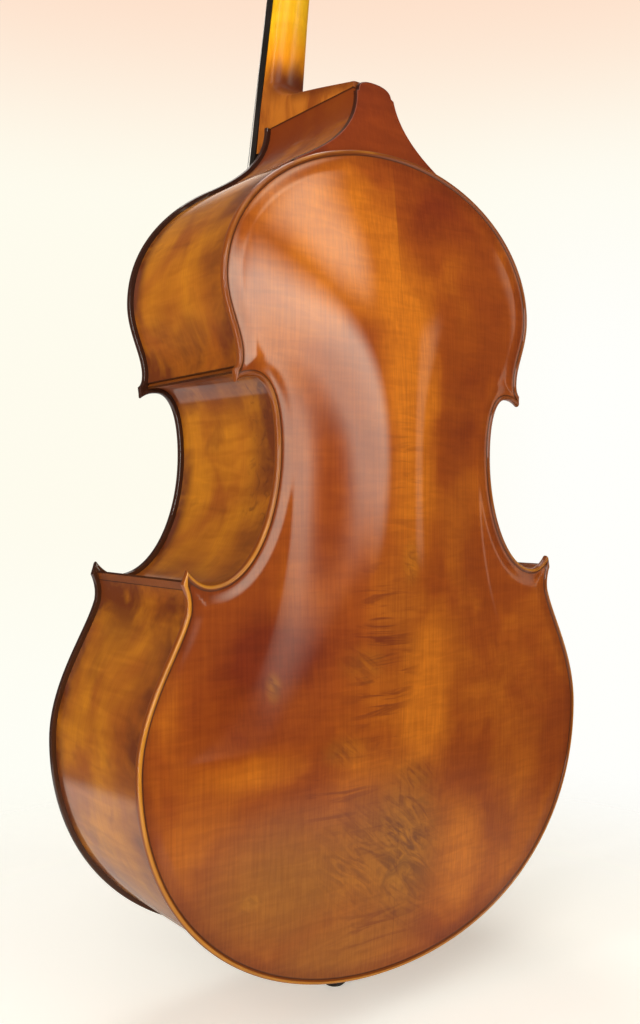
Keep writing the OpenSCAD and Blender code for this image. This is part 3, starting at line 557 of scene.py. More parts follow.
class Graph:
    """Wires the nodes of one material, group or world."""

    def __init__(self, tree: Tree) -> None:
        """Starts on a node tree."""
        self.tree = tree

    def put(self, target: Socket, value: Value) -> None:
        """Links a socket to an input, or sets the input's own value.

        Args:
            target: The input.
            value: A socket, a number or a colour.
        """
        if isinstance(value, Socket):
            self.tree.links.new(value, target)
        elif target.type == "RGBA":
            target.default_value = (*value, 1.0)
        else:
            target.default_value = value

    def fill(self, node: Node, inputs: Inputs) -> None:
        """Gives inputs of a node what they take."""
        for key, value in inputs.items():
            self.put(node.inputs[key], value)

    def node(self, kind: str, inputs: Optional[Inputs] = None, **settings: object) -> Node:
        """A new node.

        Args:
            kind: Kind of node.
            inputs: What its inputs take.
            **settings: Its properties by name.

        Returns:
            The node.
        """
        made = self.tree.nodes.new(kind)
        for key, setting in settings.items():
            setattr(made, key, setting)
        self.fill(made, inputs or {})
        return made

    def math(self, kind: str, a: Number, b: Number = 0.0, clamp: bool = False) -> Socket:
        """Result of a Math node, kept between 0 and 1 if clamped."""
        return self.node("ShaderNodeMath", {0: a, 1: b}, operation=kind, use_clamp=clamp).outputs[0]

    def times(self, a: Number, b: Number, clamp: bool = False) -> Socket:
        """Product of two values."""
        return self.math("MULTIPLY", a, b, clamp)

    def plus(self, a: Number, b: Number) -> Socket:
        """Sum of two values."""
        return self.math("ADD", a, b)

    def minus(self, a: Number, b: Number, clamp: bool = False) -> Socket:
        """Difference of two values."""
        return self.math("SUBTRACT", a, b, clamp)

    def larger(self, a: Number, b: Number) -> Socket:
        """Larger of two values."""
        return self.math("MAXIMUM", a, b)

    def mix(self, share: Number, a: Tint, b: Tint, blend: str = "MIX") -> Socket:
        """Mix of two colours, by the share of the second."""
        parts = {0: share, 6: a, 7: b}
        return self.node("ShaderNodeMix", parts, data_type="RGBA", blend_type=blend).outputs[2]

    def ease(self, value: Socket, low: float, high: float, start: float = 0.0, end: float = 1.0) -> Socket:
        """Eased step of a value from low to high, with results from start to end."""
        ends = {0: value, 1: low, 2: high, 3: start, 4: end}
        return self.node("ShaderNodeMapRange", ends, interpolation_type="SMOOTHSTEP").outputs[0]

    def fall(self, value: Socket, low: float, high: float, start: float = 1.0) -> Socket:
        """Eased step of a value from low to high, with results from start down to 0."""
        return self.ease(value, low, high, start, 0.0)

    def vector(self, kind: str, a: Value, b: Value = (0, 0, 0)) -> Outputs:
        """Results of a Vector Math node."""
        return self.node("ShaderNodeVectorMath", {0: a, 1: b}, operation=kind).outputs

    def stretch(self, place: Socket, scale: Sequence[float], offset: Sequence[float] = (0, 0, 0)) -> Socket:
        """A vector that an offset is taken from and that is then scaled by axis."""
        return self.vector("MULTIPLY", self.vector("SUBTRACT", place, offset)[0], scale)[0]

    def dot(self, place: Socket, way: Sequence[float]) -> Socket:
        """Share of a vector along a fixed direction."""
        return self.vector("DOT_PRODUCT", place, way)["Value"]

    def size(self, place: Socket) -> Socket:
        """Length of a vector."""
        return self.vector("LENGTH", place)["Value"]

    def noise(
        self, place: Socket, scale: Number, detail: float = 2.0, rough: float = 0.5, warp: float = 0.0
    ) -> Socket:
        """Noise of so many patches per metre, with finer levels, their strength and a distortion."""
        look = {"Scale": scale, "Detail": detail, "Roughness": rough, "Distortion": warp}
        return self.node("ShaderNodeTexNoise", {"Vector": place, **look}).outputs[0]

    def group(self, tree: Tree, **inputs: Number) -> Outputs:
        """Results of a shared effect, placed in this tree with its own values."""
        return self.node("ShaderNodeGroup", inputs, node_tree=tree).outputs

    def attribute(self, name: str) -> Socket:
        """Value that a mesh carries at its points."""
        return self.node("ShaderNodeAttribute", attribute_name=name).outputs["Fac"]

    def part(self, place: Socket, axis: str) -> Socket:
        """One axis of a vector."""
        return self.node("ShaderNodeSeparateXYZ", {0: place}).outputs[axis]

    def place(self) -> Socket:
        """Object coordinates."""
        return self.node("ShaderNodeTexCoord").outputs["Object"]

    def relief(self, height: Socket, distance: float, strength: float) -> Socket:
        """Normal of a bump whose height map spans a distance in metres."""
        look = {"Height": height, "Distance": distance, "Strength": strength}
        return self.node("ShaderNodeBump", look).outputs["Normal"]


class Effects:
    """Shader groups that more than one finish uses, each built once."""

    @staticmethod
    def start(
        name: str, inputs: Sequence[str], outputs: Sequence[str]
    ) -> tuple[Graph, Outputs, bpy.types.NodeInputs]:
        """A new group with its sockets.

        Args:
            name: Name of the group.
            inputs: Names of its inputs, of which Place is a vector and the others are numbers.
            outputs: Names of its numbers.

        Returns:
            Its graph, the sockets to read and the sockets to fill.
        """
        tree = bpy.data.node_groups.new(name, "ShaderNodeTree")
        for key in inputs:
            kind = "NodeSocketVector" if key == "Place" else "NodeSocketFloat"
            tree.interface.new_socket(key, in_out="INPUT", socket_type=kind)
        for key in outputs:
            tree.interface.new_socket(key, in_out="OUTPUT", socket_type="NodeSocketFloat")
        g = Graph(tree)
        return g, g.node("NodeGroupInput").outputs, g.node("NodeGroupOutput").inputs

    @staticmethod
    @cache
    def figure() -> Tree:
        """Figure of wood: long grain along Z, flame across it and slow mottling.

        Returns:
            The group.
        """
        names = ("Grain", "Flame", "Mottle")
        g, read, give = Effects.start("wood_figure", ("Place",) + names, names)
        place = read["Place"]
        grain = g.noise(g.stretch(place, (1, 1, 0.025)), read["Grain"], 4.0, 0.6)
        flame = g.noise(g.stretch(place, (0.16, 0.16, 1)), read["Flame"], 2.5, 0.55, 0.5)
        mottle = g.noise(place, read["Mottle"], 3.0, 0.55, 0.4)
        g.put(give["Grain"], g.ease(grain, 0.3, 0.7))
        g.put(give["Flame"], g.ease(flame, 0.32, 0.68))
        g.put(give["Mottle"], g.ease(mottle, 0.3, 0.7))
        return g.tree

    @staticmethod
    @cache
    def burl() -> Tree:
        """Dark swirling lines of knotty wood.

        Returns:
            The group.
        """
        g, read, give = Effects.start("burl_lines", ("Place", "Scale"), ("Lines", "Knots"))
        place, scale = read["Place"], read["Scale"]
        turn = {"Vector": place, "Rotation": (0.0, math.radians(38), 0.0)}
        along = g.stretch(g.node("ShaderNodeMapping", turn).outputs[0], (0.45, 1.0, 1.7))
        knots = g.noise(place, g.times(scale, 0.7), 3.0, 0.6, 1.2)
        g.put(give["Lines"], g.ease(g.noise(along, scale, 2.5, 0.55, 1.6), 0.36, 0.70))
        g.put(give["Knots"], g.ease(knots, 0.48, 0.74))
        return g.tree

    @staticmethod
    @cache
    def rim() -> Tree:
        """Masks of a carved plate's rim, from the distance to its edge in millimetres, the last one painted
        shade in the channel inside it.

        Returns:
            The group.
        """
        g, read, give = Effects.start("plate_rim", ("Edge",), ("Bead", "Crest", "Line", "Hollow"))
        edge = read["Edge"]
        g.put(give["Bead"], g.fall(edge, 5.2, 6.0))
        g.put(give["Crest"], g.times(g.ease(edge, 0.2, 1.4), g.fall(edge, 3.2, 4.8)))
        g.put(give["Line"], g.times(g.ease(edge, 5.3, 5.9), g.fall(edge, 6.4, 7.8)))
        # The last mask is painted shade in the channel inside the rim, strongest near the rim
        g.put(give["Hollow"], g.fall(edge, 8.0, 26.0))
        return g.tree


def blank(name: str) -> tuple[Finish, Graph, Node]:
    """Starts a material.

    Args:
        name: Name of the material.

    Returns:
        The material, its graph and its shader.
    """
    made = bpy.data.materials.new(name)
    made.use_nodes = True
    return made, Graph(made.node_tree), made.node_tree.nodes["Principled BSDF"]


@dataclass(frozen=True)
class Wood:
    """A wooden finish.

    Attributes:
        deep, warm: Colours of its dark and its light parts.
        grain, flame, mottle: Lines across the grain, bands along it and patches, per metre.
    """

    name: str
    deep: Colour
    warm: Colour
    grain: float = 420.0
    grain_depth: float = 0.2
    flame: float = 55.0
    flame_depth: float = 0.25
    mottle: float = 9.0
    roughness: float = 0.45
    coat: float = 0.7
    coat_roughness: float = 0.05

    def place(self, g: Graph) -> Socket:
        """Place on the wood, with Z along its grain."""
        return g.place()

    def colour(self, g: Graph, place: Socket, mottle: Socket) -> Socket:
        """Colour of the wood before its figure."""
        return g.mix(mottle, self.deep, self.warm)

    def detail(self, g: Graph, place: Socket, colour: Socket) -> Socket:
        """Colour with what only this wood has."""
        return colour

    def gloss(self, g: Graph) -> Optional[Socket]:
        """Strength of the varnish's gloss where it changes over the surface."""
        return None

    def material(self) -> Finish:
        """Builds the material.

        Returns:
            A new material.
        """
        made, g, shader = blank(self.name)
        place = self.place(g)
        rates = {"Grain": self.grain, "Flame": self.flame, "Mottle": self.mottle}
        figure = g.group(Effects.figure(), Place=place, **rates)
        colour = self.colour(g, place, figure["Mottle"])
        colour = g.mix(g.times(figure["Flame"], self.flame_depth), colour, FLAME_SHADE, "MULTIPLY")
        colour = g.mix(g.times(figure["Grain"], self.grain_depth), colour, GRAIN_SHADE, "MULTIPLY")
        g.fill(shader, {
            "Base Color": self.detail(g, place, colour),
            "Roughness": g.plus(g.times(figure["Mottle"], 0.08), self.roughness),
            "Normal": g.relief(figure["Grain"], 0.0002, 0.12),
            "Specular IOR Level": 0.1,
            "Coat Weight": self.coat,
            "Coat Roughness": self.coat_roughness,
        })
        gloss = self.gloss(g)
        if gloss:
            g.put(shader.inputs["Coat Weight"], gloss)
        return made


@dataclass(frozen=True)
class Spot:
    """A patch of a plate's figure, in metres on the object.

    Attributes:
        across, along: Half width and half height.
        weight: How far it lightens, or darkens if below 0.
        half: The half of the plate that it ends with, if it ends at the seam.
    """

    x: float
    z: float
    across: float
    along: float
    weight: float
    half: Optional[Side] = None

    def mask(self, g: Graph, place: Socket) -> Socket:
        """The patch as a soft mask.

        Args:
            g: Graph of the material.
            place: Place on the object.

        Returns:
            The mask's socket.
        """
        near = g.stretch(place, (1 / self.across, 0, 1 / self.along), (self.x, 0, self.z))
        mask = g.fall(g.size(near), 0.1, 1.1, self.weight)
        if self.half:
            inside = g.math("GREATER_THAN", g.times(g.part(place, "X"), self.half.value), 0.0)
            mask = g.times(mask, inside)
        return mask


def spots(*rows: tuple) -> tuple[Spot, ...]:
    """Patches from plain rows of their values."""
    return tuple(Spot(*row) for row in rows)


@dataclass(frozen=True)
class PlateWood(Wood):
    """Varnished wood of a carved plate, with its rim, patches, curls and burl, and painted shade in the
    channel inside the rim.

    Attributes:
        crest: Colour of the rim where hands have worn it.
        tone: Share of the light colours where there is no patch.
        uneven: How far the mottling moves that share.
        curls: Places with strong cross figure.
        dulls: Places where the varnish has lost its gloss.
    """

    gold: Colour = (0.76, 0.215, 0.010)
    bead: Colour = (0.24, 0.055, 0.006)
    crest: Colour = (0.62, 0.24, 0.022)
    line: Colour = (0.105, 0.026, 0.005)
    tone: float = 0.50
    uneven: float = 0.3
    smoke: Colour = (0.49, 0.174, 0.014)
    patches: tuple[Spot, ...] = ()
    clouds: tuple[Spot, ...] = ()
    curls: tuple[Spot, ...] = ()
    burls: tuple[Spot, ...] = ()
    dulls: tuple[Spot, ...] = ()
    burl_scale: float = 46.0
    burl_dark: Colour = (0.20, 0.062, 0.010)
    burl_light: Colour = (0.68, 0.255, 0.014)
    curl: Colour = (0.19, 0.030, 0.005)

    def colour(self, g: Graph, place: Socket, mottle: Socket) -> Socket:
        """Mottling between three colours, lightened and darkened by the patches.

        Args:
            g: Graph of the material.
            place: Place on the plate.
            mottle: Slow mottling.

        Returns:
            The colour's socket.
        """
        total = g.plus(g.times(g.minus(mottle, 0.5), self.uneven), self.tone)
        for spot in self.patches:
            total = g.plus(total, spot.mask(g, place))
        colour = g.mix(g.times(total, 2.0, clamp=True), self.deep, self.warm)
        colour = g.mix(g.minus(g.times(total, 2.0), 1.0, clamp=True), colour, self.gold)
        if self.clouds:
            colour = g.mix(self.most(g, place, self.clouds), colour, self.smoke)
        return colour

    def gloss(self, g: Graph) -> Optional[Socket]:
        """Gloss of the varnish, less where it is dulled."""
        dull = self.most(g, g.place(), self.dulls) if self.dulls else None
        return g.ease(dull, 0.0, 1.0, self.coat, 0.1 * self.coat) if dull else None

    def most(self, g: Graph, place: Socket, spots: Sequence[Spot]) -> Socket:
        """Strongest of some patches at each place.

        Args:
            g: Graph of the material.
            place: Place on the plate.
            spots: The patches.

        Returns:
            The mask's socket.
        """
        mask = spots[0].mask(g, place)
        for spot in spots[1:]:
            mask = g.larger(mask, spot.mask(g, place))
        return mask

    def figured(self, g: Graph, place: Socket, colour: Socket) -> Socket:
        """Adds the curls and the burl.

        Args:
            g: Graph of the material.
            place: Place on the plate.
            colour: Colour of the plate.

        Returns:
            The colour's socket.
        """
        if self.curls:
            curl = g.noise(g.stretch(place, (0.14, 0.14, 1)), 75.0, 3.0, 0.6, 0.9)
            curl = g.times(g.ease(curl, 0.48, 0.61), self.most(g, place, self.curls))
            colour = g.mix(curl, colour, self.curl)
        if self.burls:
            swirl = g.group(Effects.burl(), Place=place, Scale=self.burl_scale)
            mask = self.most(g, place, self.burls)
            light = g.times(mask, g.minus(1.0, swirl["Lines"]))
            colour = g.mix(g.times(light, 0.6), colour, self.burl_light)
            dark = g.larger(swirl["Lines"], swirl["Knots"])
            colour = g.mix(g.times(mask, dark), colour, self.burl_dark)
        return colour

    def detail(self, g: Graph, place: Socket, colour: Socket) -> Socket:
        """Adds the figure, the seam, the rim and painted shade in the channel inside the rim.

        Args:
            g: Graph of the material.
            place: Place on the plate.
            colour: Colour of the plate.

        Returns:
            The colour's socket.
        """
        colour = self.figured(g, place, colour)
        across = g.math("ABSOLUTE", g.part(place, "X"))
        colour = g.mix(g.fall(across, 0.0002, 0.0007, 0.3), colour, SEAM_SHADE, "MULTIPLY")
        rim = g.group(Effects.rim(), Edge=g.attribute("edge"))
        # Painted shade in the channel inside the rim
        colour = g.mix(g.times(rim["Hollow"], 0.5), colour, HOLLOW_SHADE, "MULTIPLY")
        colour = g.mix(rim["Bead"], colour, self.bead)
        low = g.ease(g.part(place, "Z"), 0.30, 0.80, 0.62, 0.12)
        worn = g.ease(g.plus(low, g.noise(place, 14.0, 3.0, 0.6)), 0.55, 1.15)
        colour = g.mix(g.times(worn, rim["Crest"]), colour, self.crest)
        return g.mix(rim["Line"], colour, self.line)


@dataclass(frozen=True)
class RibWood(Wood):
    """Varnished wood of a rib, with its grain along the rib and darker edges.

    Attributes:
        back_edge, top_edge: Distances from the middle between which it darkens towards the plates.
        burl_z: Heights between which the back's side of it has burl.
    """

    edge: Colour = (0.15, 0.032, 0.006)
    back_edge: Pair = (0.022, 0.103)
    top_edge: Pair = (0.070, 0.101)
    end_shade: float = 0.115
    burl_z: Pair = (0.60, 0.76)
    knot: Colour = (0.10, 0.024, 0.006)
    joint: Colour = (0.03, 0.008, 0.003)
    shoulder: Colour = (0.20, 0.034, 0.005)
    shoulder_z: Pair = (1.035, 1.085)

    def place(self, g: Graph) -> Socket:
        """Place across and along the rib."""
        ways = {"X": g.part(g.place(), "Y"), "Z": g.attribute("along")}
        return g.node("ShaderNodeCombineXYZ", ways).outputs[0]

    def gloss(self, g: Graph) -> Optional[Socket]:
        """Dulls the varnish at the rib's ends."""
        return g.ease(g.attribute("end"), 0.0, 0.075, self.coat * 0.18, self.coat)

    def knots(self, g: Graph, place: Socket, height: Socket) -> Socket:
        """Knots on the back's side of the waist.

        Args:
            g: Graph of the material.
            place: Place on the rib.
            height: Height on the object.

        Returns:
            The knots' mask.
        """
        low, high = self.burl_z
        spot = g.ease(height, low - 0.03, low + 0.02)
        spot = g.times(spot, g.fall(height, high - 0.02, high + 0.03))
        spot = g.times(spot, g.ease(g.part(place, "X"), 0.030, 0.075, 0.0, 0.75))
        return g.times(spot, g.group(Effects.burl(), Place=place, Scale=85.0)["Knots"])

    def detail(self, g: Graph, place: Socket, colour: Socket) -> Socket:
        """Darkens the rib towards the plates and its ends, and adds the burl and the joints.

        Args:
            g: Graph of the material.
            place: Place on the rib.
            colour: Colour of the rib.

        Returns:
            The colour's socket.
        """
        across, end = g.part(place, "X"), g.attribute("end")
        top = g.ease(g.times(across, -1.0), *self.top_edge)
        edge = g.larger(g.ease(across, *self.back_edge), top)
        ends = g.fall(end, 0.0, self.end_shade)
        worn = g.ease(g.noise(place, 11.0, 4.0, 0.62, 0.4), 0.34, 0.62, 0.25, 1.15)
        patch = g.noise(g.stretch(place, (1, 1, 1), (0.4, 0, 2.3)), 15.0, 3.0, 0.6, 0.6)
        dark = g.times(g.larger(edge, ends), worn, clamp=True)
        colour = g.mix(g.larger(dark, g.ease(patch, 0.54, 0.74, 0.0, 0.38)), colour, self.edge)
        height = g.part(g.place(), "Z")
        colour = g.mix(g.ease(height, *self.shoulder_z, 0.0, 0.88), colour, self.shoulder)
        colour = g.mix(self.knots(g, place, height), colour, self.knot)
        return g.mix(g.fall(end, 0.0006, 0.0016, 0.85), colour, self.joint)


@dataclass(frozen=True)
class NeckWood(Wood):
    """Oiled neck wood that darkens towards its heel and its head, with painted shade where the shaft turns
    into the heel and along the heel's upper edge.

    Attributes:
        dark: Colour of the painted shade in the hollow where the shaft turns into the heel and along the
            heel's upper edge, and of the head's dark streaks.
        amber_z, heel_z, head_z: Heights between which those colours end or start.
        turn_y: Distances from the middle of the ribs between which the painted shade in the hollow comes in.
        ridge: Fall of the heel's upper edge for each step back, and its height at the middle of the ribs,
            where shade is painted along it.
    """

    heel: tuple[Colour, Colour] = ((0.27, 0.062, 0.007), (0.50, 0.150, 0.014))
    head: Colour = (0.27, 0.056, 0.007)
    amber: Colour = (0.88, 0.27, 0.005)
    dark: Colour = (0.115, 0.018, 0.004)
    amber_z: Pair = (1.196, 1.266)
    heel_z: Pair = (1.172, 1.232)
    head_z: Pair = (1.50, 1.58)
    turn_z: float = 1.184
    turn_y: Pair = (-0.120, -0.094)
    ridge: Pair = (0.190, 1.1425)

    def detail(self, g: Graph, place: Socket, colour: Socket) -> Socket:
        """Stains the heel and the head, and paints shade in the hollow of the turn and along the heel's upper
        edge.

        Args:
            g: Graph of the material.
            place: Place on the neck.
            colour: Colour of the neck.

        Returns:
            The colour's socket.
        """
        depth = g.part(place, "Y")
        streak = g.noise(g.stretch(place, (1, 1, 0.3)), 34.0, 4.0, 0.6, 0.5)
        height = g.plus(g.part(place, "Z"), g.times(g.minus(streak, 0.5), 0.03))
        colour = g.mix(g.fall(height, *self.amber_z, 0.9), colour, self.amber)
        low = g.fall(height, *self.heel_z)
        high = g.ease(height, *self.head_z)
        figure = g.ease(streak, 0.36, 0.66)
        stain = g.mix(high, g.mix(figure, *self.heel), g.mix(figure, self.dark, self.head))
        colour = g.mix(g.larger(low, high), colour, stain)
        # Painted shade in the hollow where the shaft turns into the heel
        away = g.math("ABSOLUTE", g.minus(height, self.turn_z))
        hollow = g.times(g.fall(away, 0.0, 0.036, 0.95), g.ease(depth, *self.turn_y))
        # Painted shade along the heel's upper edge
        fall, top = self.ridge
        ridge = g.ease(g.dot(place, (0.0, fall, 1.0)), top - 0.018, top, 0.0, 0.75)
        ridge = g.times(g.times(ridge, g.ease(depth, -0.070, -0.050)), low)
        return g.mix(g.larger(hollow, ridge), colour, self.dark)


@dataclass(frozen=True)
class Metal:
    """A metal finish with tarnish and fine scratches.

    Attributes:
        tarnish: Patches of tarnish per metre.
    """

    name: str
    bright: Colour
    dull: Colour
    roughness: float = 0.25
    tarnish: float = 60.0

    def material(self) -> Finish:
        """Builds the material.

        Returns:
            A new material.
        """
        made, g, shader = blank(self.name)
        place = g.place()
        patches = g.ease(g.noise(place, self.tarnish, 4.0, 0.6, 0.3), 0.42, 0.7)
        scratch = g.noise(g.stretch(place, (1.0, 0.08, 0.3)), 900.0, 2.0, 0.6)
        rough = g.plus(g.times(patches, 0.2), self.roughness)
        g.fill(shader, {
            "Base Color": g.mix(patches, self.bright, self.dull),
            "Roughness": g.plus(rough, g.times(scratch, 0.12)),
            "Normal": g.relief(scratch, 0.0001, 0.1),
            "Metallic": 1.0,
        })
        return made


@dataclass(frozen=True)
class Rubber:
    """Black rubber with a dusty, worn face."""

    name: str
    black: Colour = (0.018, 0.018, 0.019)
    dust: Colour = (0.10, 0.095, 0.09)

    def material(self) -> Finish:
        """Builds the material.

        Returns:
            A new material.
        """
        made, g, shader = blank(self.name)
        place = g.place()
        worn = g.ease(g.noise(place, 160.0, 4.0, 0.65), 0.45, 0.75)
        low = g.ease(g.part(place, "Z"), 0.0, 0.012, 0.6, 0.1)
        g.fill(shader, {
            "Base Color": g.mix(g.times(worn, low), self.black, self.dust),
            "Roughness": g.plus(g.times(worn, 0.2), 0.6),
            "Normal": g.relief(g.noise(place, 1500.0, 2.0), 0.0002, 0.3),
        })
        return made


@dataclass(frozen=True)
class WoundSteel:
    """Flat-wound string steel: fine turns along the string.

    Attributes:
        turns: Half turns for each metre.
    """

    name: str
    bright: Colour = (0.56, 0.55, 0.53)
    groove: Colour = (0.22, 0.21, 0.20)
    turns: float = 2600.0

    def material(self) -> Finish:
        """Builds the material.

        Returns:
            A new material.
        """
        made, g, shader = blank(self.name)
        place = g.place()
        turn = g.math("SINE", g.times(g.part(place, "Z"), self.turns * math.pi))
        groove = g.ease(turn, 0.55, 1.0)
        tarnish = g.noise(place, 30.0, 3.0, 0.6)
        g.fill(shader, {
            "Base Color": g.mix(groove, self.bright, self.groove),
            "Roughness": g.plus(g.times(tarnish, 0.25), 0.22),
            "Normal": g.relief(turn, 0.0001, 0.2),
            "Metallic": 1.0,
        })
        return made


@dataclass
class CarvedPlate:
    """A carved plate of the body, in two halves that meet on the centre line.

    Attributes:
        name: First word of the names of its two nodes.
        rim: Section of its rim, as distances in from the outline and heights above the seat's far side.
        hollow_in: How far its inner arch starts inside the outer one.
        groove_end: Distance from the outline at which the groove has run out.
    """

    name: str
    face: Face
    slot: Slot
    arch: Arch
    finish: Finish
    outline: Outline = Outline()
    rim: tuple[Pair, ...] = (
        (2.4, -8.0), (1.0, -7.6), (0.3, -6.4), (0.0, -4.4), (0.1, -2.4), (0.6, -0.8), (1.5, 0.5), (2.7, 1.2),
        (3.8, 1.2), (4.8, 0.5), (5.5, -0.5), (6.1, -1.1), (6.8, -1.3),
    )
    seat_y: float = 103.0
    edge_t: float = 8.0
    hollow_in: float = 14.0
    groove: float = 1.3
    groove_end: float = 24.0
    mesh_step: float = 3.5
    under_step: float = 22.0

    def edge_tree(self, step: float = 1.5) -> KDTree:
        """Places along the outline, to measure distances from.

        Args:
            step: Distance between them.

        Returns:
            The places, across and up.
        """
        places = self.outline.line(self.outline.runs(self.face), 0.0, step)
        tree = KDTree(len(places))
        for k, p in enumerate(places):
            tree.insert((p.x, 0.0, p.y), k)
        tree.balance()
        return tree

    def squares(self, bm: BMesh, ring: Edges, step: float, shift: float = 0.37) -> list[Vert]:
        """Closes a half ring with a field of squares.

        Args:
            bm: The mesh being made.
            ring: Edges of the ring, from the bottom of the centre line to its top.
            step: Width of a square.
            shift: What keeps the squares' lines off the ring's own points.

        Returns:
            Points of the field, those of the ring among them.
        """
        tips = Workbench.verts_of([ring[0], ring[-1]])
        ends = [v for v in tips if len(v.link_edges) < 2 or abs(v.co.x) < 1e-6]
        low, *_, high = sorted(ends, key=lambda v: v.co.z)
        seam = bm.edges.new((high, low))
        made = bmesh.ops.edgeloop_fill(bm, edges=ring + [seam])["faces"]
        geom = made + ring + [seam] + list(Workbench.verts_of(ring))
        for axis, last in (((0, 0, 1), self.outline.body_top), ((1, 0, 0), self.outline.lower_bout)):
            for k in range(1, int(last / step) + 1):
                at = Vector(axis) * (k * step + shift)
                geom = bmesh.ops.bisect_plane(bm, geom=geom, plane_co=at, plane_no=axis)["geom"]
        return [g for g in geom if isinstance(g, Vert)]

    def lift(self, tree: KDTree, x: float, z: float) -> float:
        """Height of the outer face above the edge, at one place inside the rim."""
        groove = 1.0 - smooth_share(self.rim[-1][0], self.groove_end, tree.find((x, 0.0, z))[2])
        return self.arch.lift(x, z) - self.groove * groove

    def carve(self) -> BMesh:
        """Carves the treble half of a plate that faces +Y.

        Returns:
            The half, in millimetres on the body.
        """
        bm = bmesh.new()
        edge = bm.verts.layers.float.new("edge")
        lean = bm.verts.layers.float_vector.new("lean")
        runs = self.outline.runs(self.face)
        outer_y = self.seat_y + self.edge_t
        rings = []
        for inset, height in self.rim:
            line = self.outline.line(runs, inset)
            ring = Workbench.chain(bm, [Vector((p.x, outer_y + height, p.y)) for p in line])
            for v in Workbench.verts_of(ring):
                v[edge] = inset
            rings.append(ring)
        Workbench.skin(bm, rings)
        tree = self.edge_tree()
        inner = replace(self.arch, rim=self.arch.rim + self.hollow_in)
        for v in self.squares(bm, rings[-1], self.mesh_step):
            x, z, reach = v.co.x, v.co.z, self.mesh_step / 2
            v[edge] = tree.find((x, 0.0, z))[2]
            v.co.y = outer_y + self.lift(tree, x, z)
            across = self.lift(tree, x + reach, z) - self.lift(tree, x - reach, z)
            along = self.lift(tree, x, z + reach) - self.lift(tree, x, z - reach)
            v[lean] = Vector((-across, 2 * reach, -along)).normalized()
        for v in self.squares(bm, rings[0], self.under_step):
            v.co.y = self.seat_y + inner.lift(v.co.x, v.co.z)
        bmesh.ops.holes_fill(bm, edges=[e for e in bm.edges if e.is_boundary], sides=0)
        bmesh.ops.recalc_face_normals(bm, faces=bm.faces)
        return bm

    def shaped(self) -> BMesh:
        """The carved half with what is cut out of it."""
        return self.carve()

    def build(self) -> None:
        """Makes both halves."""
        treble = self.shaped()
        for side in Side:
            half = treble.copy()
            turn = Matrix.Diagonal((side.value, self.face.value, 1.0, 1.0))
            Workbench.to_metres(half, turn)
            lean = half.verts.layers.float_vector["lean"]
            for v in half.verts:
                v[lean] = turn.to_3x3() @ v[lean]
            name = f"{self.name}_{side.name.lower()}"
            Workbench.finish(half, f"carved_{name}", self.slot, self.finish, name)
        treble.free()


@dataclass
class SoundPlate(CarvedPlate):
    """The top plate, with its sound holes and the place of its saddle.

    Attributes:
        hole_way: Points that the sound hole's upper half bends towards, from its middle.
        stem: Half widths of its stem at its middle and at its ends.
        eyes, eye_at: Radii of its upper and lower eye, and the upper one's middle from the hole's.
        past: How far the cutters start outside the plate, and how much longer they are than it is high.
    """

    hole_at: Pair = (118.0, 482.0)
    hole_way: tuple[Pair, ...] = ((-6.0, 52.0), (-14.0, 118.0), (-42.0, 112.0))
    stem: Pair = (6.5, 3.6)
    eyes: Pair = (11.0, 15.0)
    eye_at: Pair = (-45.0, 100.0)
    saddle: Pair = (28.0, 14.0)
    past: Pair = (5.0, 15.0)

    def stem_line(self, steps: int = 24) -> list[Vector]:
        """Outline of the hole's stem, on the plate.

        Args:
            steps: Steps along each half of it.

        Returns:
            The outline's points.
        """
        mid = Vector(self.hole_at)
        upper = Cubic(mid, *(mid + Vector(p) for p in self.hole_way))
        wide, thin = self.stem
        left, right = [], []
        for k in range(-steps, steps + 1):
            t = abs(k) / steps
            turn = 1.0 if k >= 0 else -1.0
            place = mid + turn * (upper.point(t) - mid)
            way = upper.way(t)
            aside = (wide + (thin - wide) * t ** 1.5) * Vector((-way.y, way.x))
            left.append(place + aside)
            right.append(place - aside)
        return left + right[::-1]

    def cutter(self, line: Sequence[Vector]) -> BMesh:
        """What takes one outline out of the plate.

        Args:
            line: The outline.

        Returns:
            The cutter.
        """
        tool = bmesh.new()
        deep = self.edge_t + self.arch.rise + self.past[1]
        Workbench.prism(tool, [Vector((p.x, self.seat_y - self.past[0], p.y)) for p in line], (0, deep, 0))
        bmesh.ops.recalc_face_normals(tool, faces=tool.faces)
        return tool

    def shaped(self) -> BMesh:
        """Cuts the sound hole and the saddle's place out of the carved half.

        Returns:
            What is left.
        """
        lines = [self.stem_line()]
        for radius, way in zip(self.eyes, (1.0, -1.0)):
            at = Vector(self.hole_at) + way * Vector(self.eye_at)
            turns = [2 * math.pi * k / 40 for k in range(40)]
            lines.append([at + radius * Vector((math.cos(a), math.sin(a))) for a in turns])
        (half, high), edge = self.saddle, -self.past[0]
        lines.append([Vector(p) for p in ((edge, edge), (half, edge), (half, high), (edge, high))])
        bm = self.carve()
        for line in lines:
            bm = Workbench.cut(bm, self.cutter(line))
        return bm


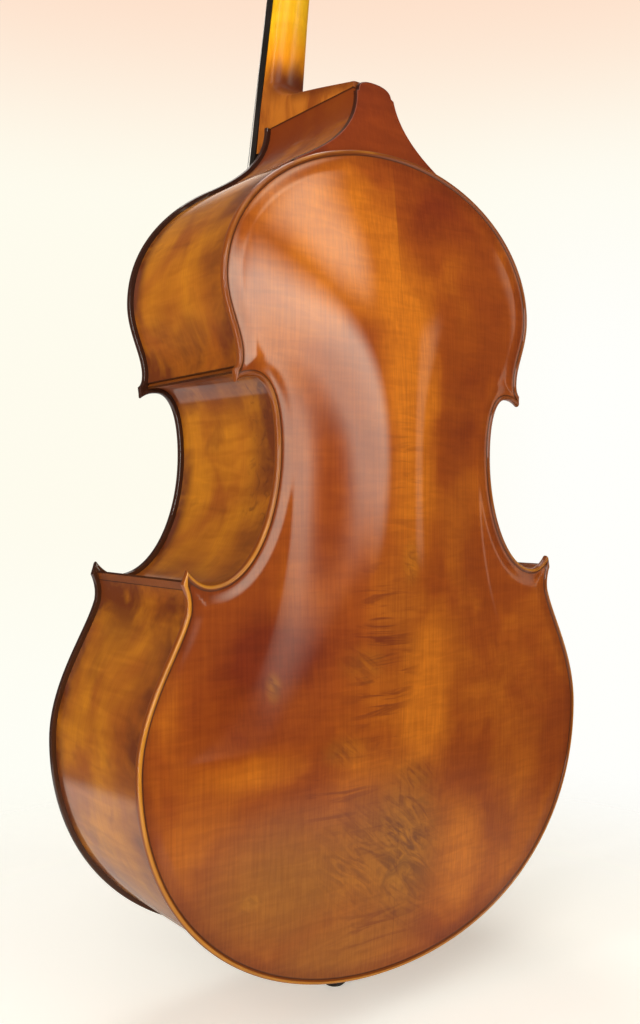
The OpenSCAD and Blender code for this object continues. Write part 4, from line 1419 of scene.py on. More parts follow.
@dataclass
class ShoulderCap:
    """The slanted plate over the end of the body, between the back's round top and the heel.

    Attributes:
        slope: Fall of its face for each step up.
        start_z: Height at which its face is level with the ribs.
        overhang: How far the ribs stand inside the outline.
        step: How far the crown stands in from the slope below it.
        crown_round: Pull of the crown's side, and the share of its half width along which it stays high.
        flat: How far a face has to agree with the slope to be dressed as the cap's own face; the others, its
            eased edges and sides, take a dark finish as painted shade.
    """

    finish: Finish
    # Dark finish without gloss that paints shade on its eased edges and sides
    seam: Finish
    outline: Outline = Outline()
    slope: float = 0.18
    start_z: float = 920.0
    half_depth: float = 103.0
    foot_z: float = 945.0
    thick: float = 6.0
    overhang: float = 6.0
    half_heel: float = 30.0
    rise: float = 10.0
    crown: float = 14.0
    step: float = 3.5
    crown_round: Pair = (4.0, 0.6)
    ease: float = 2.0
    flat: float = 0.95

    def face_y(self, z: float) -> float:
        """Distance of its face from the middle of the ribs at one height on the body."""
        return self.half_depth - self.slope * (z - self.start_z)

    def under_y(self, z: float) -> float:
        """Distance of what lies under it, which is the ribs' own edge below its foot."""
        return self.face_y(z) - self.thick if z >= self.foot_z else self.half_depth

    def edge(self) -> list[Vector]:
        """Its outline, along the shoulders, over the crown and back along the back's round top.

        Returns:
            The outline's points.
        """
        shoulder, slope = self.outline.shoulder_curves()
        top = self.outline.body_top + self.rise
        line = [p for p in shoulder.sample(40, self.overhang) if p.y > self.foot_z]
        line += [p for p in slope.sample(24, self.overhang)[1:] if p.y < top - self.crown - 0.5]
        half = self.half_heel - self.step
        pull, share = self.crown_round
        line += cubic((half, top - self.crown), (half, top - pull), (share * half, top), (0, top)).sample(10)
        seat = [p for p in self.outline.back_turn().sample(60, self.overhang) if p.y > line[0].y + 1]
        line += [Vector((-p.x, p.y)) for p in line[-2::-1]]
        return line + [Vector((-p.x, p.y)) for p in seat] + seat[-2::-1]

    def build(self) -> None:
        """Makes the cap."""
        bm = bmesh.new()
        places = [Vector((p.x, self.face_y(p.y), p.y)) for p in self.edge()]
        loop = Workbench.prism(bm, places, (0, -self.thick, 0))
        bmesh.ops.remove_doubles(bm, verts=bm.verts, dist=0.01)
        bmesh.ops.bevel(
            bm, geom=[e for e in loop if e.is_valid], offset=self.ease, segments=3, profile=0.5,
            affect="EDGES", material=-1,
        )
        bmesh.ops.recalc_face_normals(bm, faces=bm.faces)
        # Faces that turn away from the slope take the dark finish, as painted shade
        way = Vector((0, 1, self.slope)).normalized()
        for face in bm.faces:
            face.material_index = int(face.normal.dot(way) < self.flat)
        Workbench.to_metres(bm)
        piece = Workbench.finish(bm, "capped_shoulder", Slot.RIBS, self.finish, "shoulder_cap")
        piece.data.materials.append(self.seam)


@dataclass
class Ribs:
    """The six ribs: lower, middle and upper on each side.

    Attributes:
        low_reach, high_reach: Shares of the corners' curves that they follow.
    """

    finish: Finish
    cap: ShoulderCap
    thick: float = 2.5
    low_reach: float = 0.7
    high_reach: float = 0.45
    step: float = 3.0

    def line(self, curves: Sequence[Cubic], first: float, last: float, inset: float) -> list[Vector]:
        """Points along one face of a rib.

        Args:
            curves: The outline's curves that it follows.
            first: Share of the first curve at which it starts.
            last: Share of the last curve at which it ends.
            inset: Distance of the face inside the outline.

        Returns:
            The points in order.
        """
        points: list[Vector] = []
        for k, curve in enumerate(curves):
            start = first if k == 0 else 0.0
            end = last if k == len(curves) - 1 else 1.0
            count = max(6, round(curve.length() * (end - start) / self.step))
            points += curve.sample(count, inset, start, end)[(1 if k else 0):]
        return points

    def bend(
        self, curves: Sequence[Cubic], first: float, last: float, under_cap: bool, open_start: bool
    ) -> BMesh:
        """One treble rib, in millimetres on the body.

        Args:
            curves: The outline's curves that it follows.
            first: Share of the first curve at which it starts.
            last: Share of the last curve at which it ends.
            under_cap: Whether it ends under the shoulder cap.
            open_start: Whether it starts at the joint with its twin and not at a corner.

        Returns:
            The rib's mesh, with its distances along itself and to its ends.
        """
        bm = bmesh.new()
        along = bm.verts.layers.float.new("along")
        end = bm.verts.layers.float.new("end")
        outer = self.line(curves, first, last, self.cap.overhang)
        inner = self.line(curves, first, last, self.cap.overhang + self.thick)
        run = [0.0]
        for a, b in zip(outer, outer[1:]):
            run.append(run[-1] + (b - a).length)
        rings = []
        for p, q, way in zip(outer, inner, run):
            back = self.cap.under_y(p.y) if under_cap else self.cap.half_depth
            front = -self.cap.half_depth
            corners = [(p, front), (p, back), (q, back), (q, front)]
            ring = Workbench.chain(bm, [Vector((c.x, y, c.y)) for c, y in corners], closed=True)
            for v in Workbench.verts_of(ring):
                v[along] = way * MM
                far = (run[-1] - way) * (0.5 if under_cap else 1.0)
                v[end] = MM * (far if open_start else min(way, far))
            rings.append(ring)
        Workbench.skin(bm, rings, capped=True)
        return bm

    def build(self) -> None:
        """Makes the six ribs."""
        o = self.cap.outline
        upper = o.bout_curves() + o.shoulder_curves()
        kinds = (
            ("lower_rib", o.lower_curves(), 0.0, self.low_reach, False, True),
            ("middle_rib", o.waist_curves(), 1.0 - self.low_reach, self.high_reach, False, False),
            ("upper_rib", upper, 1.0 - self.high_reach, 1.0, True, False),
        )
        for name, curves, first, last, under_cap, open_start in kinds:
            for side in Side:
                bm = self.bend(curves, first, last, under_cap, open_start)
                Workbench.to_metres(bm, Matrix.Diagonal((side.value, 1, 1, 1)))
                node = f"{name}_{side.name.lower()}"
                Workbench.finish(bm, f"bent_{node}", Slot.RIBS, self.finish, node)


@dataclass(frozen=True)
class NeckFrame:
    """The neck's own frame: its origin is the joint, its face lies on Y 0 and it runs up along Z."""

    joint_y: float = -133.0
    joint_z: float = 1121.0
    pitch: float = 9.8
    length: float = 440.0

    def point(self, x: float, y: float, z: float) -> Vector:
        """Takes a place of the neck's frame to the object's frame.

        Args:
            x: Distance across.
            y: Distance behind the neck's face.
            z: Distance up from the joint.

        Returns:
            The place, in millimetres.
        """
        a = math.radians(self.pitch)
        return Vector((
            x,
            self.joint_y + y * math.cos(a) + z * math.sin(a),
            self.joint_z - y * math.sin(a) + z * math.cos(a),
        ))

    def side(self, y: float, z: float) -> Vector:
        """The same for a place on the centre line, as its distance along Y and its height."""
        return self.point(0, y, z).yz

    def matrix(self) -> Matrix:
        """The frame's place in the object's frame."""
        turn = Matrix.Rotation(-math.radians(self.pitch), 4, "X")
        return Matrix.Translation((0, self.joint_y, self.joint_z)) @ turn


@dataclass
class Neck:
    """The neck's shaft and its heel, in one piece.

    Attributes:
        depth: Depth of the shaft at its root and at the nut.
        board: Width of the fingerboard at the nut and at its far end, and its length.
        root, turn: Height above the joint at which the shaft turns, and the turn's reach, back and up.
        foot, foot_y: How far its foot reaches down behind the board, and where it ends in the top plate.
        lead, trail: Pulls of the turn at the heel and at the shaft.
        front: Distances up the board between which the heel's sections start.
        squares: How square the sections are in the foot, at the heel's start, at its end, where the shaft
            starts and along the shaft.
    """

    finish: Finish
    cap: ShoulderCap
    frame: NeckFrame = NeckFrame()
    depth: Pair = (28.0, 25.0)
    board: tuple[float, float, float] = (42.0, 84.0, 840.0)
    inset: float = 1.5
    root: float = 68.0
    turn: Pair = (36.0, -29.0)
    foot: float = 26.0
    foot_y: float = -108.0
    lead: Pair = (-15.0, 3.0)
    trail: float = 13.0
    front: Pair = (2.0, 32.0)
    squares: tuple[float, ...] = (40.0, 22.0, 8.0, 2.4, 2.1)

    def half_width(self, z: float) -> float:
        """Half width of the shaft at one height above the joint."""
        nut, far, length = self.board
        return (nut + (far - nut) * (self.frame.length - z) / length) / 2 - self.inset

    def section(self, front: Vector, back: Vector, half: float, square: float) -> list[Vector]:
        """A section from the board to the neck's back, which is half an ellipse where square is 2."""
        return Workbench.half_round(front, back, half, 2 / square, 32)

    def heel(self, heel_top: Vector) -> list[list[Vector]]:
        """Sections of the foot and the heel.

        Args:
            heel_top: Where the heel's back meets the turn.

        Returns:
            The sections in order.
        """
        cap, half = self.cap, self.cap.half_heel
        body_top = cap.outline.body_top
        end_z = body_top + cap.rise - 2
        low = Vector((cap.face_y(body_top) - cap.thick, body_top + BODY_Z))
        high = Vector((cap.face_y(end_z) - cap.thick, end_z + BODY_Z))
        root, foot = Vector((self.frame.joint_y, low.y)), self.frame.side(0, -self.foot)
        under = Vector((0, 0.2))
        square, first, last = self.squares[:3]
        sections = [
            self.section(foot, Vector((self.foot_y, foot.y)), half, square),
            self.section(root - under, Vector((self.foot_y, low.y)) - under, half, square),
            self.section(root, low, half, square),
        ]
        start, end = self.front
        for k in range(13):
            share = k / 12
            front = self.frame.side(0, start + (end - start) * share)
            square = first + (last - first) * smooth_share(0.3, 1.0, share)
            sections.append(self.section(front, high.lerp(heel_top, share), half, square))
        return sections

    def shaft(self, bend: Cubic) -> list[list[Vector]]:
        """Sections of the turn and the shaft.

        Args:
            bend: Line of the turn's back.

        Returns:
            The sections in order.
        """
        f, wide, sections = self.frame, self.cap.half_heel, []
        start, (heel, turn, along) = self.front[1], self.squares[2:]
        for k in range(1, 17):
            t = k / 16
            front = f.side(0, start + (self.root - start) * t)
            half = wide + (self.half_width(self.root) - wide) * t
            square = heel + (turn - heel) * smooth_share(0.0, 1.0, t)
            sections.append(self.section(front, bend.point(t), half, square))
        for k in range(1, 19):
            z = self.root + (f.length - self.root) * k / 18
            deep = self.depth[0] + (self.depth[1] - self.depth[0]) * k / 18
            square = turn + (along - turn) * min(1.0, k / 4)
            sections.append(self.section(f.side(0, z), f.side(deep, z), self.half_width(z), square))
        return sections

    def build(self) -> None:
        """Makes the neck."""
        a = math.radians(self.frame.pitch)
        turn_end = self.frame.side(self.depth[0], self.root)
        heel_top = turn_end + Vector(self.turn)
        lead = heel_top + Vector(self.lead)
        bend = Cubic(heel_top, lead, turn_end - self.trail * Vector((math.sin(a), math.cos(a))), turn_end)
        bm = bmesh.new()
        sections = self.heel(heel_top) + self.shaft(bend)
        Workbench.skin(bm, [Workbench.chain(bm, line, closed=True) for line in sections], capped=True)
        bmesh.ops.remove_doubles(bm, verts=bm.verts, dist=0.001)
        Workbench.to_metres(bm, lift=0.0)
        Workbench.finish(bm, "shaped_neck", Slot.NECK, self.finish, "neck", sharp=32.0)


@dataclass
class Head:
    """Pegbox and scroll above the nut, in the neck's frame from the nut up.

    Attributes:
        scroll_start: Angle at which the scroll leaves the pegbox.
        scroll_r: Radius there, which halves with each turn.
        scroll_half: Half widths of the scroll at its start and at its eye.
        ledges: Drop and inset of the ledge's rows below the scroll's edge, at the start.
        dome: Shares of the eye's radius and heights of the rows of its dome.
        hollow: Depth of the two hollows along its back.
    """

    finish: Finish
    frame: NeckFrame = NeckFrame()
    length: float = 215.0
    back: Cubic = cubic((24, 0), (52, 18), (56, 120), (28, 215))
    front: Cubic = cubic((0, 0), (-24, 10), (-16, 120), (-4, 215))
    floor: Cubic = cubic((-4, 8), (40, 12), (42, 120), (12, 203))
    cheek_x: float = 27.0
    slot_x: float = 16.5
    scroll_at: Pair = (12.0, 238.0)
    scroll_start: float = -62.0
    scroll_r: float = 46.0
    scroll_half: Pair = (15.0, 27.0)
    ledges: tuple[Pair, ...] = ((0.0, 0.0), (0.6, 1.6), (3.2, 5.0))
    dome: tuple[Pair, ...] = ((1.0, 0.0), (0.96, 1.4), (0.8, 2.2), (0.5, 2.6))
    band: tuple[float, ...] = (-1.0, -0.9, -0.5, -0.12, 0.0, 0.12, 0.5, 0.9, 1.0)
    hollow: float = 2.2
    roller_y: float = 10.0
    rollers: tuple[float, ...] = (46.0, 90.0, 134.0, 178.0)
    roller_r: float = 6.05

    def pegbox(self, steps: int = 28) -> BMesh:
        """The pegbox before its slot is cut.

        Args:
            steps: Steps along it, and round it.

        Returns:
            Its mesh.
        """
        sections = []
        for k in range(steps + 1):
            t = k / steps
            ends = smooth_share(0.0, 0.16, t) * 4.5 - smooth_share(0.8, 1.0, t) * 9.0
            half = self.cheek_x - 4.5 + ends
            sections.append(Workbench.half_round(self.front.point(t), self.back.point(t), half, 0.28, steps))
        bm = bmesh.new()
        Workbench.skin(bm, [Workbench.chain(bm, line, closed=True) for line in sections], capped=True)
        bmesh.ops.recalc_face_normals(bm, faces=bm.faces)
        return bm

    def slot(self) -> BMesh:
        """Cutter of the slot that the rollers cross.

        Returns:
            The cutter.
        """
        tool = bmesh.new()
        line = [Vector((-40, 8))] + self.floor.sample(24) + [Vector((-40, self.length - 12))]
        Workbench.prism(tool, [Vector((-self.slot_x, p.x, p.y)) for p in line], (2 * self.slot_x, 0, 0))
        bmesh.ops.recalc_face_normals(tool, faces=tool.faces)
        return tool

    def bores(self) -> BMesh:
        """Cutters of the rollers' bores.

        Returns:
            The cutters in one mesh.
        """
        tool = bmesh.new()
        for z in self.rollers:
            place = Matrix.Translation((0, self.roller_y, z)) @ Matrix.Rotation(math.pi / 2, 4, "Y")
            bmesh.ops.create_cone(
                tool, cap_ends=True, segments=32, radius1=self.roller_r, radius2=self.roller_r,
                depth=4 * self.cheek_x, matrix=place,
            )
        return tool

    def spiral(self, angle: float, inward: float = 0.0) -> Vector:
        """Place on the scroll's edge, across and up.

        Args:
            angle: Degrees wound from its start.
            inward: Distance inside the edge.

        Returns:
            The place.
        """
        radius = self.scroll_r * 0.5 ** (angle / 360) - inward
        turn = math.radians(self.scroll_start + angle)
        return Vector(self.scroll_at) + radius * Vector((math.cos(turn), math.sin(turn)))

    def half_at(self, angle: float) -> float:
        """Half width of the scroll's edge after some degrees."""
        low, high = self.scroll_half
        return low + (high - 2.5 - low) * smooth_share(0.0, 780.0, angle) ** 0.8

    def ledge(self, bm: BMesh, s: int, last: int = 720, step: int = 10) -> None:
        """The spiral ledge on one side.

        Args:
            bm: The mesh being made.
            s: The side's sign.
            last: Degrees that it winds.
            step: Degrees of a step.
        """
        angles = range(0, last + step, step)
        rows = []
        for drop, inward in self.ledges:
            row = []
            for angle in angles:
                deep = self.half_at(angle) - drop * 0.72 ** (angle / 180)
                row.append(Vector((s * deep, *self.spiral(angle, inward * 0.5 ** (angle / 360)))))
            rows.append(row)
        foot = []
        for angle in angles:
            deep = self.half_at(angle) - 4.2 * 0.72 ** (angle / 180)
            foot.append(Vector((s * deep, *self.spiral(angle + 360, -0.9 * 0.6 ** (angle / 360)))))
        rows.append(foot)
        rows.append([Vector((s * self.half_at(a + 360), *self.spiral(a + 360))) for a in angles])
        Workbench.skin(bm, [Workbench.chain(bm, row) for row in rows])

    def eye(self, bm: BMesh, s: int, step: int = 10) -> None:
        """The domed eye on one side.

        Args:
            bm: The mesh being made.
            s: The side's sign.
            step: Degrees of a step.
        """
        rim = [Vector((s * self.half_at(a), *self.spiral(a))) for a in range(720, 1080 + step, step)]
        y, z = self.scroll_at
        top, most = s * self.scroll_half[1], self.dome[-1][1]
        rows = []
        for share, height in self.dome:
            x = top - s * (most - height)
            rows.append([Vector((x, y + (p.y - y) * share, z + (p.z - z) * share)) for p in rim])
        rings = [Workbench.chain(bm, row, closed=True) for row in rows]
        Workbench.skin(bm, rings)
        bmesh.ops.edgeloop_fill(bm, edges=rings[-1])

    def scroll(self, step: int = 10) -> BMesh:
        """The scroll: a spiral ledge and an eye on each side of a band.

        Args:
            step: Degrees of a step.

        Returns:
            Its mesh.
        """
        bm = bmesh.new()
        for side in Side:
            self.ledge(bm, side.value)
            self.eye(bm, side.value)
        band = []
        for share in self.band:
            hollow = self.hollow * (1.0 - abs(2 * abs(share) - 1.0) ** 2.0)
            row = []
            for angle in range(0, 360 + step, step):
                row.append(Vector((share * self.half_at(angle), *self.spiral(angle, hollow))))
            band.append(Workbench.chain(bm, row))
        Workbench.skin(bm, band)
        bmesh.ops.remove_doubles(bm, verts=bm.verts, dist=0.02)
        bmesh.ops.holes_fill(bm, edges=[e for e in bm.edges if e.is_boundary], sides=0)
        return bm

    def build(self) -> None:
        """Makes the head."""
        place = self.frame.matrix() @ Matrix.Translation((0, 0, self.frame.length))
        box = Workbench.cut(Workbench.cut(self.pegbox(), self.slot()), self.bores())
        for bm, name, sharp in ((box, "cut_pegbox", 34.0), (self.scroll(), "wound_scroll", 40.0)):
            bmesh.ops.transform(bm, matrix=place, verts=bm.verts)
            Workbench.to_metres(bm, lift=0.0)
            Workbench.finish(bm, name, Slot.NECK, self.finish, "head", sharp)


@dataclass
class Strings:
    """The four strings and the wire that holds the tailpiece.

    Attributes:
        names: Names of the strings by roller, from the nut up, as their radii and places are.
        steps: Places across, in spacings from the middle.
        bridge_clear: Distance of the bridge's top before the line of the board.
        bridge_t: The bridge's thickness at the foot and at the crown.
        gap: Clearance of a string or wire from what it lies on.
        ball: Distances behind the tailpiece, and shares of the radius, of the rows of a string's ball.
    """

    finish: Finish
    wire_finish: Finish
    head: Head
    names: tuple[str, ...] = ("e", "g", "a", "d")
    radii: tuple[float, ...] = (1.35, 0.6, 1.05, 0.8)
    places: tuple[int, ...] = (0, 3, 1, 2)
    steps: tuple[float, ...] = (-1.5, -0.5, 0.5, 1.5)
    tail_foot: Pair = (-145.0, 34.0)
    tail_length: float = 300.0
    tail_t: float = 20.0
    tail_r: float = 70.0
    tail_gap: float = 22.0
    hole_in: float = 24.0
    hole_r: float = 3.5
    bridge_z: float = 468.0
    bridge_gap: float = 27.0
    bridge_r: float = 80.0
    bridge_clear: float = 22.0
    bridge_t: Pair = (20.0, 6.0)
    nut_gap: float = 10.2
    nut_rise: float = 1.5
    nut_t: float = 8.0
    board_t: float = 19.0
    board_r: float = 75.0
    roller_r: float = 6.0
    gap: float = 0.3
    turns: int = 3
    turn_gap: float = 0.6
    ball: tuple[Pair, ...] = ((9.9, 0.05), (9.5, 0.5), (8.0, 0.85), (5.0, 1.0), (2.4, 0.8))
    ball_r: float = 4.2
    wire_r: float = 1.5
    wire_x: float = 12.0
    wire_hole: float = 20.0
    saddle_y: float = -126.0
    groove_r: float = 14.0
    groove_z: float = -5.0

    def bridge_top(self) -> float:
        """Place of the bridge's top along Y."""
        f = self.head.frame
        a = math.radians(f.pitch)
        line = (BODY_Z + self.bridge_z - f.joint_z - self.board_t * math.sin(a)) / math.cos(a)
        return f.joint_y - self.board_t * math.cos(a) + line * math.sin(a) - self.bridge_clear

    def tail_point(self, x: float, y: float, z: float) -> Vector:
        """Takes a place of the tailpiece's frame to the object's frame.

        Args:
            x: Distance across.
            y: Distance behind its face.
            z: Distance up from its foot.

        Returns:
            The place, in millimetres.
        """
        fall = self.tail_foot[0] - self.bridge_top()
        a = math.atan(fall / (self.bridge_z - self.tail_foot[1]))
        return Vector((
            x,
            self.tail_foot[0] + y * math.cos(a) - z * math.sin(a),
            BODY_Z + self.tail_foot[1] + y * math.sin(a) + z * math.cos(a),
        ))

    @staticmethod
    def sag(x: float, radius: float) -> float:
        """Fall of a round crown at a distance from its middle."""
        return radius - math.sqrt(radius * radius - x * x)

    def route(self, i: int) -> list[Stop]:
        """The line of one string, from its ball to the end of its winding.

        Args:
            i: The string's place among the names.

        Returns:
            Points and radii along it.
        """
        r, k = self.radii[i], self.steps[self.places[i]]
        hole = self.tail_length - self.hole_in
        x = k * self.tail_gap
        front = self.sag(x, self.tail_r)
        points = [(self.tail_point(x, self.tail_t + y, hole), share * self.ball_r) for y, share in self.ball]
        bend = ((self.tail_t + 1, 0), (front + 3, 0), (front - 0.5, 0.6), (front - r - 0.8, self.hole_r))
        points += [(self.tail_point(x, y, hole + z), r) for y, z in bend]
        over = self.bridge_top() + self.sag(k * self.bridge_gap, self.bridge_r) - r - 2 * self.gap
        crown = BODY_Z + self.bridge_z - self.bridge_t[0] / 2
        points += [(Vector((k * self.bridge_gap, over, crown + z)), r) for z in (0.5, self.bridge_t[1] - 0.5)]
        nut = -self.board_t - self.nut_rise + self.sag(k * self.nut_gap, self.board_r) - r - self.gap
        f = self.head.frame
        points += [(f.point(k * self.nut_gap, nut, f.length + z), r) for z in (0.5 - self.nut_t, 0.0)]
        reach = self.roller_r + self.gap + r
        side = -1 if self.places[i] < 2 else 1
        high = f.length + self.head.rollers[i]
        for n in range(24 * self.turns + 1):
            a = 2 * math.pi * n / 24
            x = side * (2 + (2 * r + self.turn_gap) * n / 24)
            y = self.head.roller_y - reach * math.cos(a)
            points.append((f.point(x, y, high + reach * math.sin(a)), r))
        return points

    def wire(self) -> list[Stop]:
        """The line of the tail wire.

        Returns:
            Points and radii along it.
        """
        loop, over = self.groove_r + self.wire_r + self.gap, self.wire_r + self.gap
        groove = BODY_Z + self.groove_z
        y = self.saddle_y
        half = [self.tail_point(self.wire_x, self.tail_t / 2, z) for z in (self.wire_hole - 1, -2)]
        half += [
            Vector((14, y - over, BODY_Z + 7)),
            Vector((14, y - over, BODY_Z + 2)),
            Vector((14, y + 5, groove - 0.6)),
            Vector((15, -loop, groove)),
        ]
        for n in range(12):
            a = math.radians(7.5 * n)
            half.append(Vector((loop * math.cos(a), loop * math.sin(a), groove)))
        other = [Vector((-p.x, p.y, p.z)) for p in reversed(half)]
        return [(p, self.wire_r) for p in half + [Vector((0, loop, groove))] + other]

    @staticmethod
    def lay(name: str, node: str, points: Sequence[Stop], finish: Finish) -> None:
        """Makes a round wire through points, in millimetres.

        Args:
            name: Name of the piece.
            node: CAD node that it stands for.
            points: Places and radii.
            finish: Its material.
        """
        curve = bpy.data.curves.new(name, "CURVE")
        curve.dimensions = "3D"
        curve.bevel_depth = MM
        curve.bevel_resolution = 3
        curve.use_fill_caps = True
        spline = curve.splines.new("POLY")
        spline.points.add(len(points) - 1)
        for point, (place, radius) in zip(spline.points, points):
            point.co = (*(place * MM), 1.0)
            point.radius = radius
        spline.use_smooth = True
        curve.materials.append(finish)
        piece = linked(name, curve)
        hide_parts(node)
        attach(piece, "body")
        LOG.info("%s: %d points on body", name, len(points))

    def build(self) -> None:
        """Makes the strings and the wire."""
        for i, name in enumerate(self.names):
            self.lay(f"wound_string_{name}", f"string_{name}", self.route(i), self.finish)
        self.lay("looped_tail_wire", "tail_wire", self.wire(), self.wire_finish)


@dataclass(frozen=True)
class Dressing:
    """Finish of a CAD node that stays in sight.

    Attributes:
        round_mm: Radius of its eased edges in millimetres, or 0.
        crisp: Degrees past which an edge stays crisp, and past which it is eased.
    """

    node: str
    finish: Finish
    round_mm: float = 0.0
    crisp: Pair = (32.0, 40.0)

    @staticmethod
    @cache
    def smooth_tree(angle: float) -> Tree:
        """Node tree that shades a mesh smooth.

        Args:
            angle: Degrees past which an edge stays crisp.

        Returns:
            The tree.
        """
        tree = bpy.data.node_groups.new("smooth_by_angle", "GeometryNodeTree")
        for way in ("INPUT", "OUTPUT"):
            tree.interface.new_socket("Geometry", in_out=way, socket_type="NodeSocketGeometry")
        g = Graph(tree)
        bend = g.node("GeometryNodeInputMeshEdgeAngle").outputs["Unsigned Angle"]
        ends = {0: bend, 1: math.radians(angle)}
        sharp = g.node("FunctionNodeCompare", ends, data_type="FLOAT", operation="GREATER_THAN")
        source = g.node("NodeGroupInput").outputs[0]
        faces = g.node("GeometryNodeSetShadeSmooth", {"Geometry": source}, domain="FACE")
        parts = {"Geometry": faces.outputs[0], "Selection": sharp.outputs[0], "Shade Smooth": False}
        edges = g.node("GeometryNodeSetShadeSmooth", parts, domain="EDGE")
        g.node("NodeGroupOutput", {0: edges.outputs[0]})
        return tree

    def apply(self) -> None:
        """Gives the node its material, eased edges and smooth shading."""
        piece = frame["nodes"][self.node]
        piece.data.materials.clear()
        piece.data.materials.append(self.finish)
        weld = piece.modifiers.new("weld", "WELD")
        weld.merge_threshold = 0.00001
        if self.round_mm:
            bevel = piece.modifiers.new("eased_edges", "BEVEL")
            bevel.width = self.round_mm * MM
            bevel.segments = 2
            bevel.limit_method = "ANGLE"
            bevel.angle_limit = math.radians(self.crisp[1])
        smooth = piece.modifiers.new("smooth", "NODES")
        smooth.node_group = self.smooth_tree(self.crisp[0])
        LOG.info("%s: dressed in %s", self.node, self.finish.name)


@dataclass(frozen=True)
class SoftBox:
    """A soft light in the room, by its direction.

    Attributes:
        azimuth: Degrees from +Y towards +X.
        wide, high, soft, corner: Half width, half height, soft edge and corners, as shares of its distance.
        low: Share of its brightness at its lower edge.
    """

    azimuth: float
    rise: float
    wide: float
    high: float
    soft: float
    light: float
    colour: Colour
    tilt: float = 0.0
    low: float = 1.0
    corner: float = 0.0

    def past(self, g: Graph, off: Socket, half: float) -> Socket:
        """Square of how far a direction is past the straight part of an edge."""
        far = g.larger(g.minus(g.math("ABSOLUTE", off), half - self.corner), 0.0)
        return g.times(far, far)

    def mask(self, g: Graph, way: Socket) -> Socket:
        """The box as a mask over directions.

        Args:
            g: The world's graph.
            way: The direction.

        Returns:
            The mask.
        """
        ahead = heading(self.azimuth, self.rise)
        right = ahead.cross(UP).normalized()
        right.rotate(Matrix.Rotation(math.radians(-self.tilt), 3, ahead))
        depth = g.dot(way, ahead)
        side = g.math("DIVIDE", g.dot(way, right), depth)
        rise = g.math("DIVIDE", g.dot(way, right.cross(ahead)), depth)
        total = g.plus(self.past(g, side, self.wide), self.past(g, rise, self.high))
        inside = g.fall(g.math("SQRT", total), self.corner, self.corner + self.soft)
        inside = g.times(inside, g.math("GREATER_THAN", depth, 0.2))
        return g.times(inside, g.ease(rise, -self.high, self.high, self.low, 1.0))


@dataclass(frozen=True)
class Lamp:
    """A soft rectangular lamp that faces the object.

    Attributes:
        away: Distance from what it aims at.
    """

    name: str
    azimuth: float
    rise: float
    away: float
    size: Pair
    light: float
    colour: Colour = (1.0, 0.97, 0.92)
    aim: Place = (0.0, 0.0, 0.62)

    def build(self) -> None:
        """Hangs the lamp."""
        data = bpy.data.lights.new(self.name, "AREA")
        data.shape = "RECTANGLE"
        data.size, data.size_y = self.size
        data.energy = self.light * math.pi * self.size[0] * self.size[1]
        data.color = self.colour
        way = heading(self.azimuth, self.rise)
        lamp = linked(self.name, data)
        lamp.location = Vector(self.aim) + way * self.away
        lamp.rotation_mode = "QUATERNION"
        lamp.rotation_quaternion = way.to_track_quat("Z", "Y")


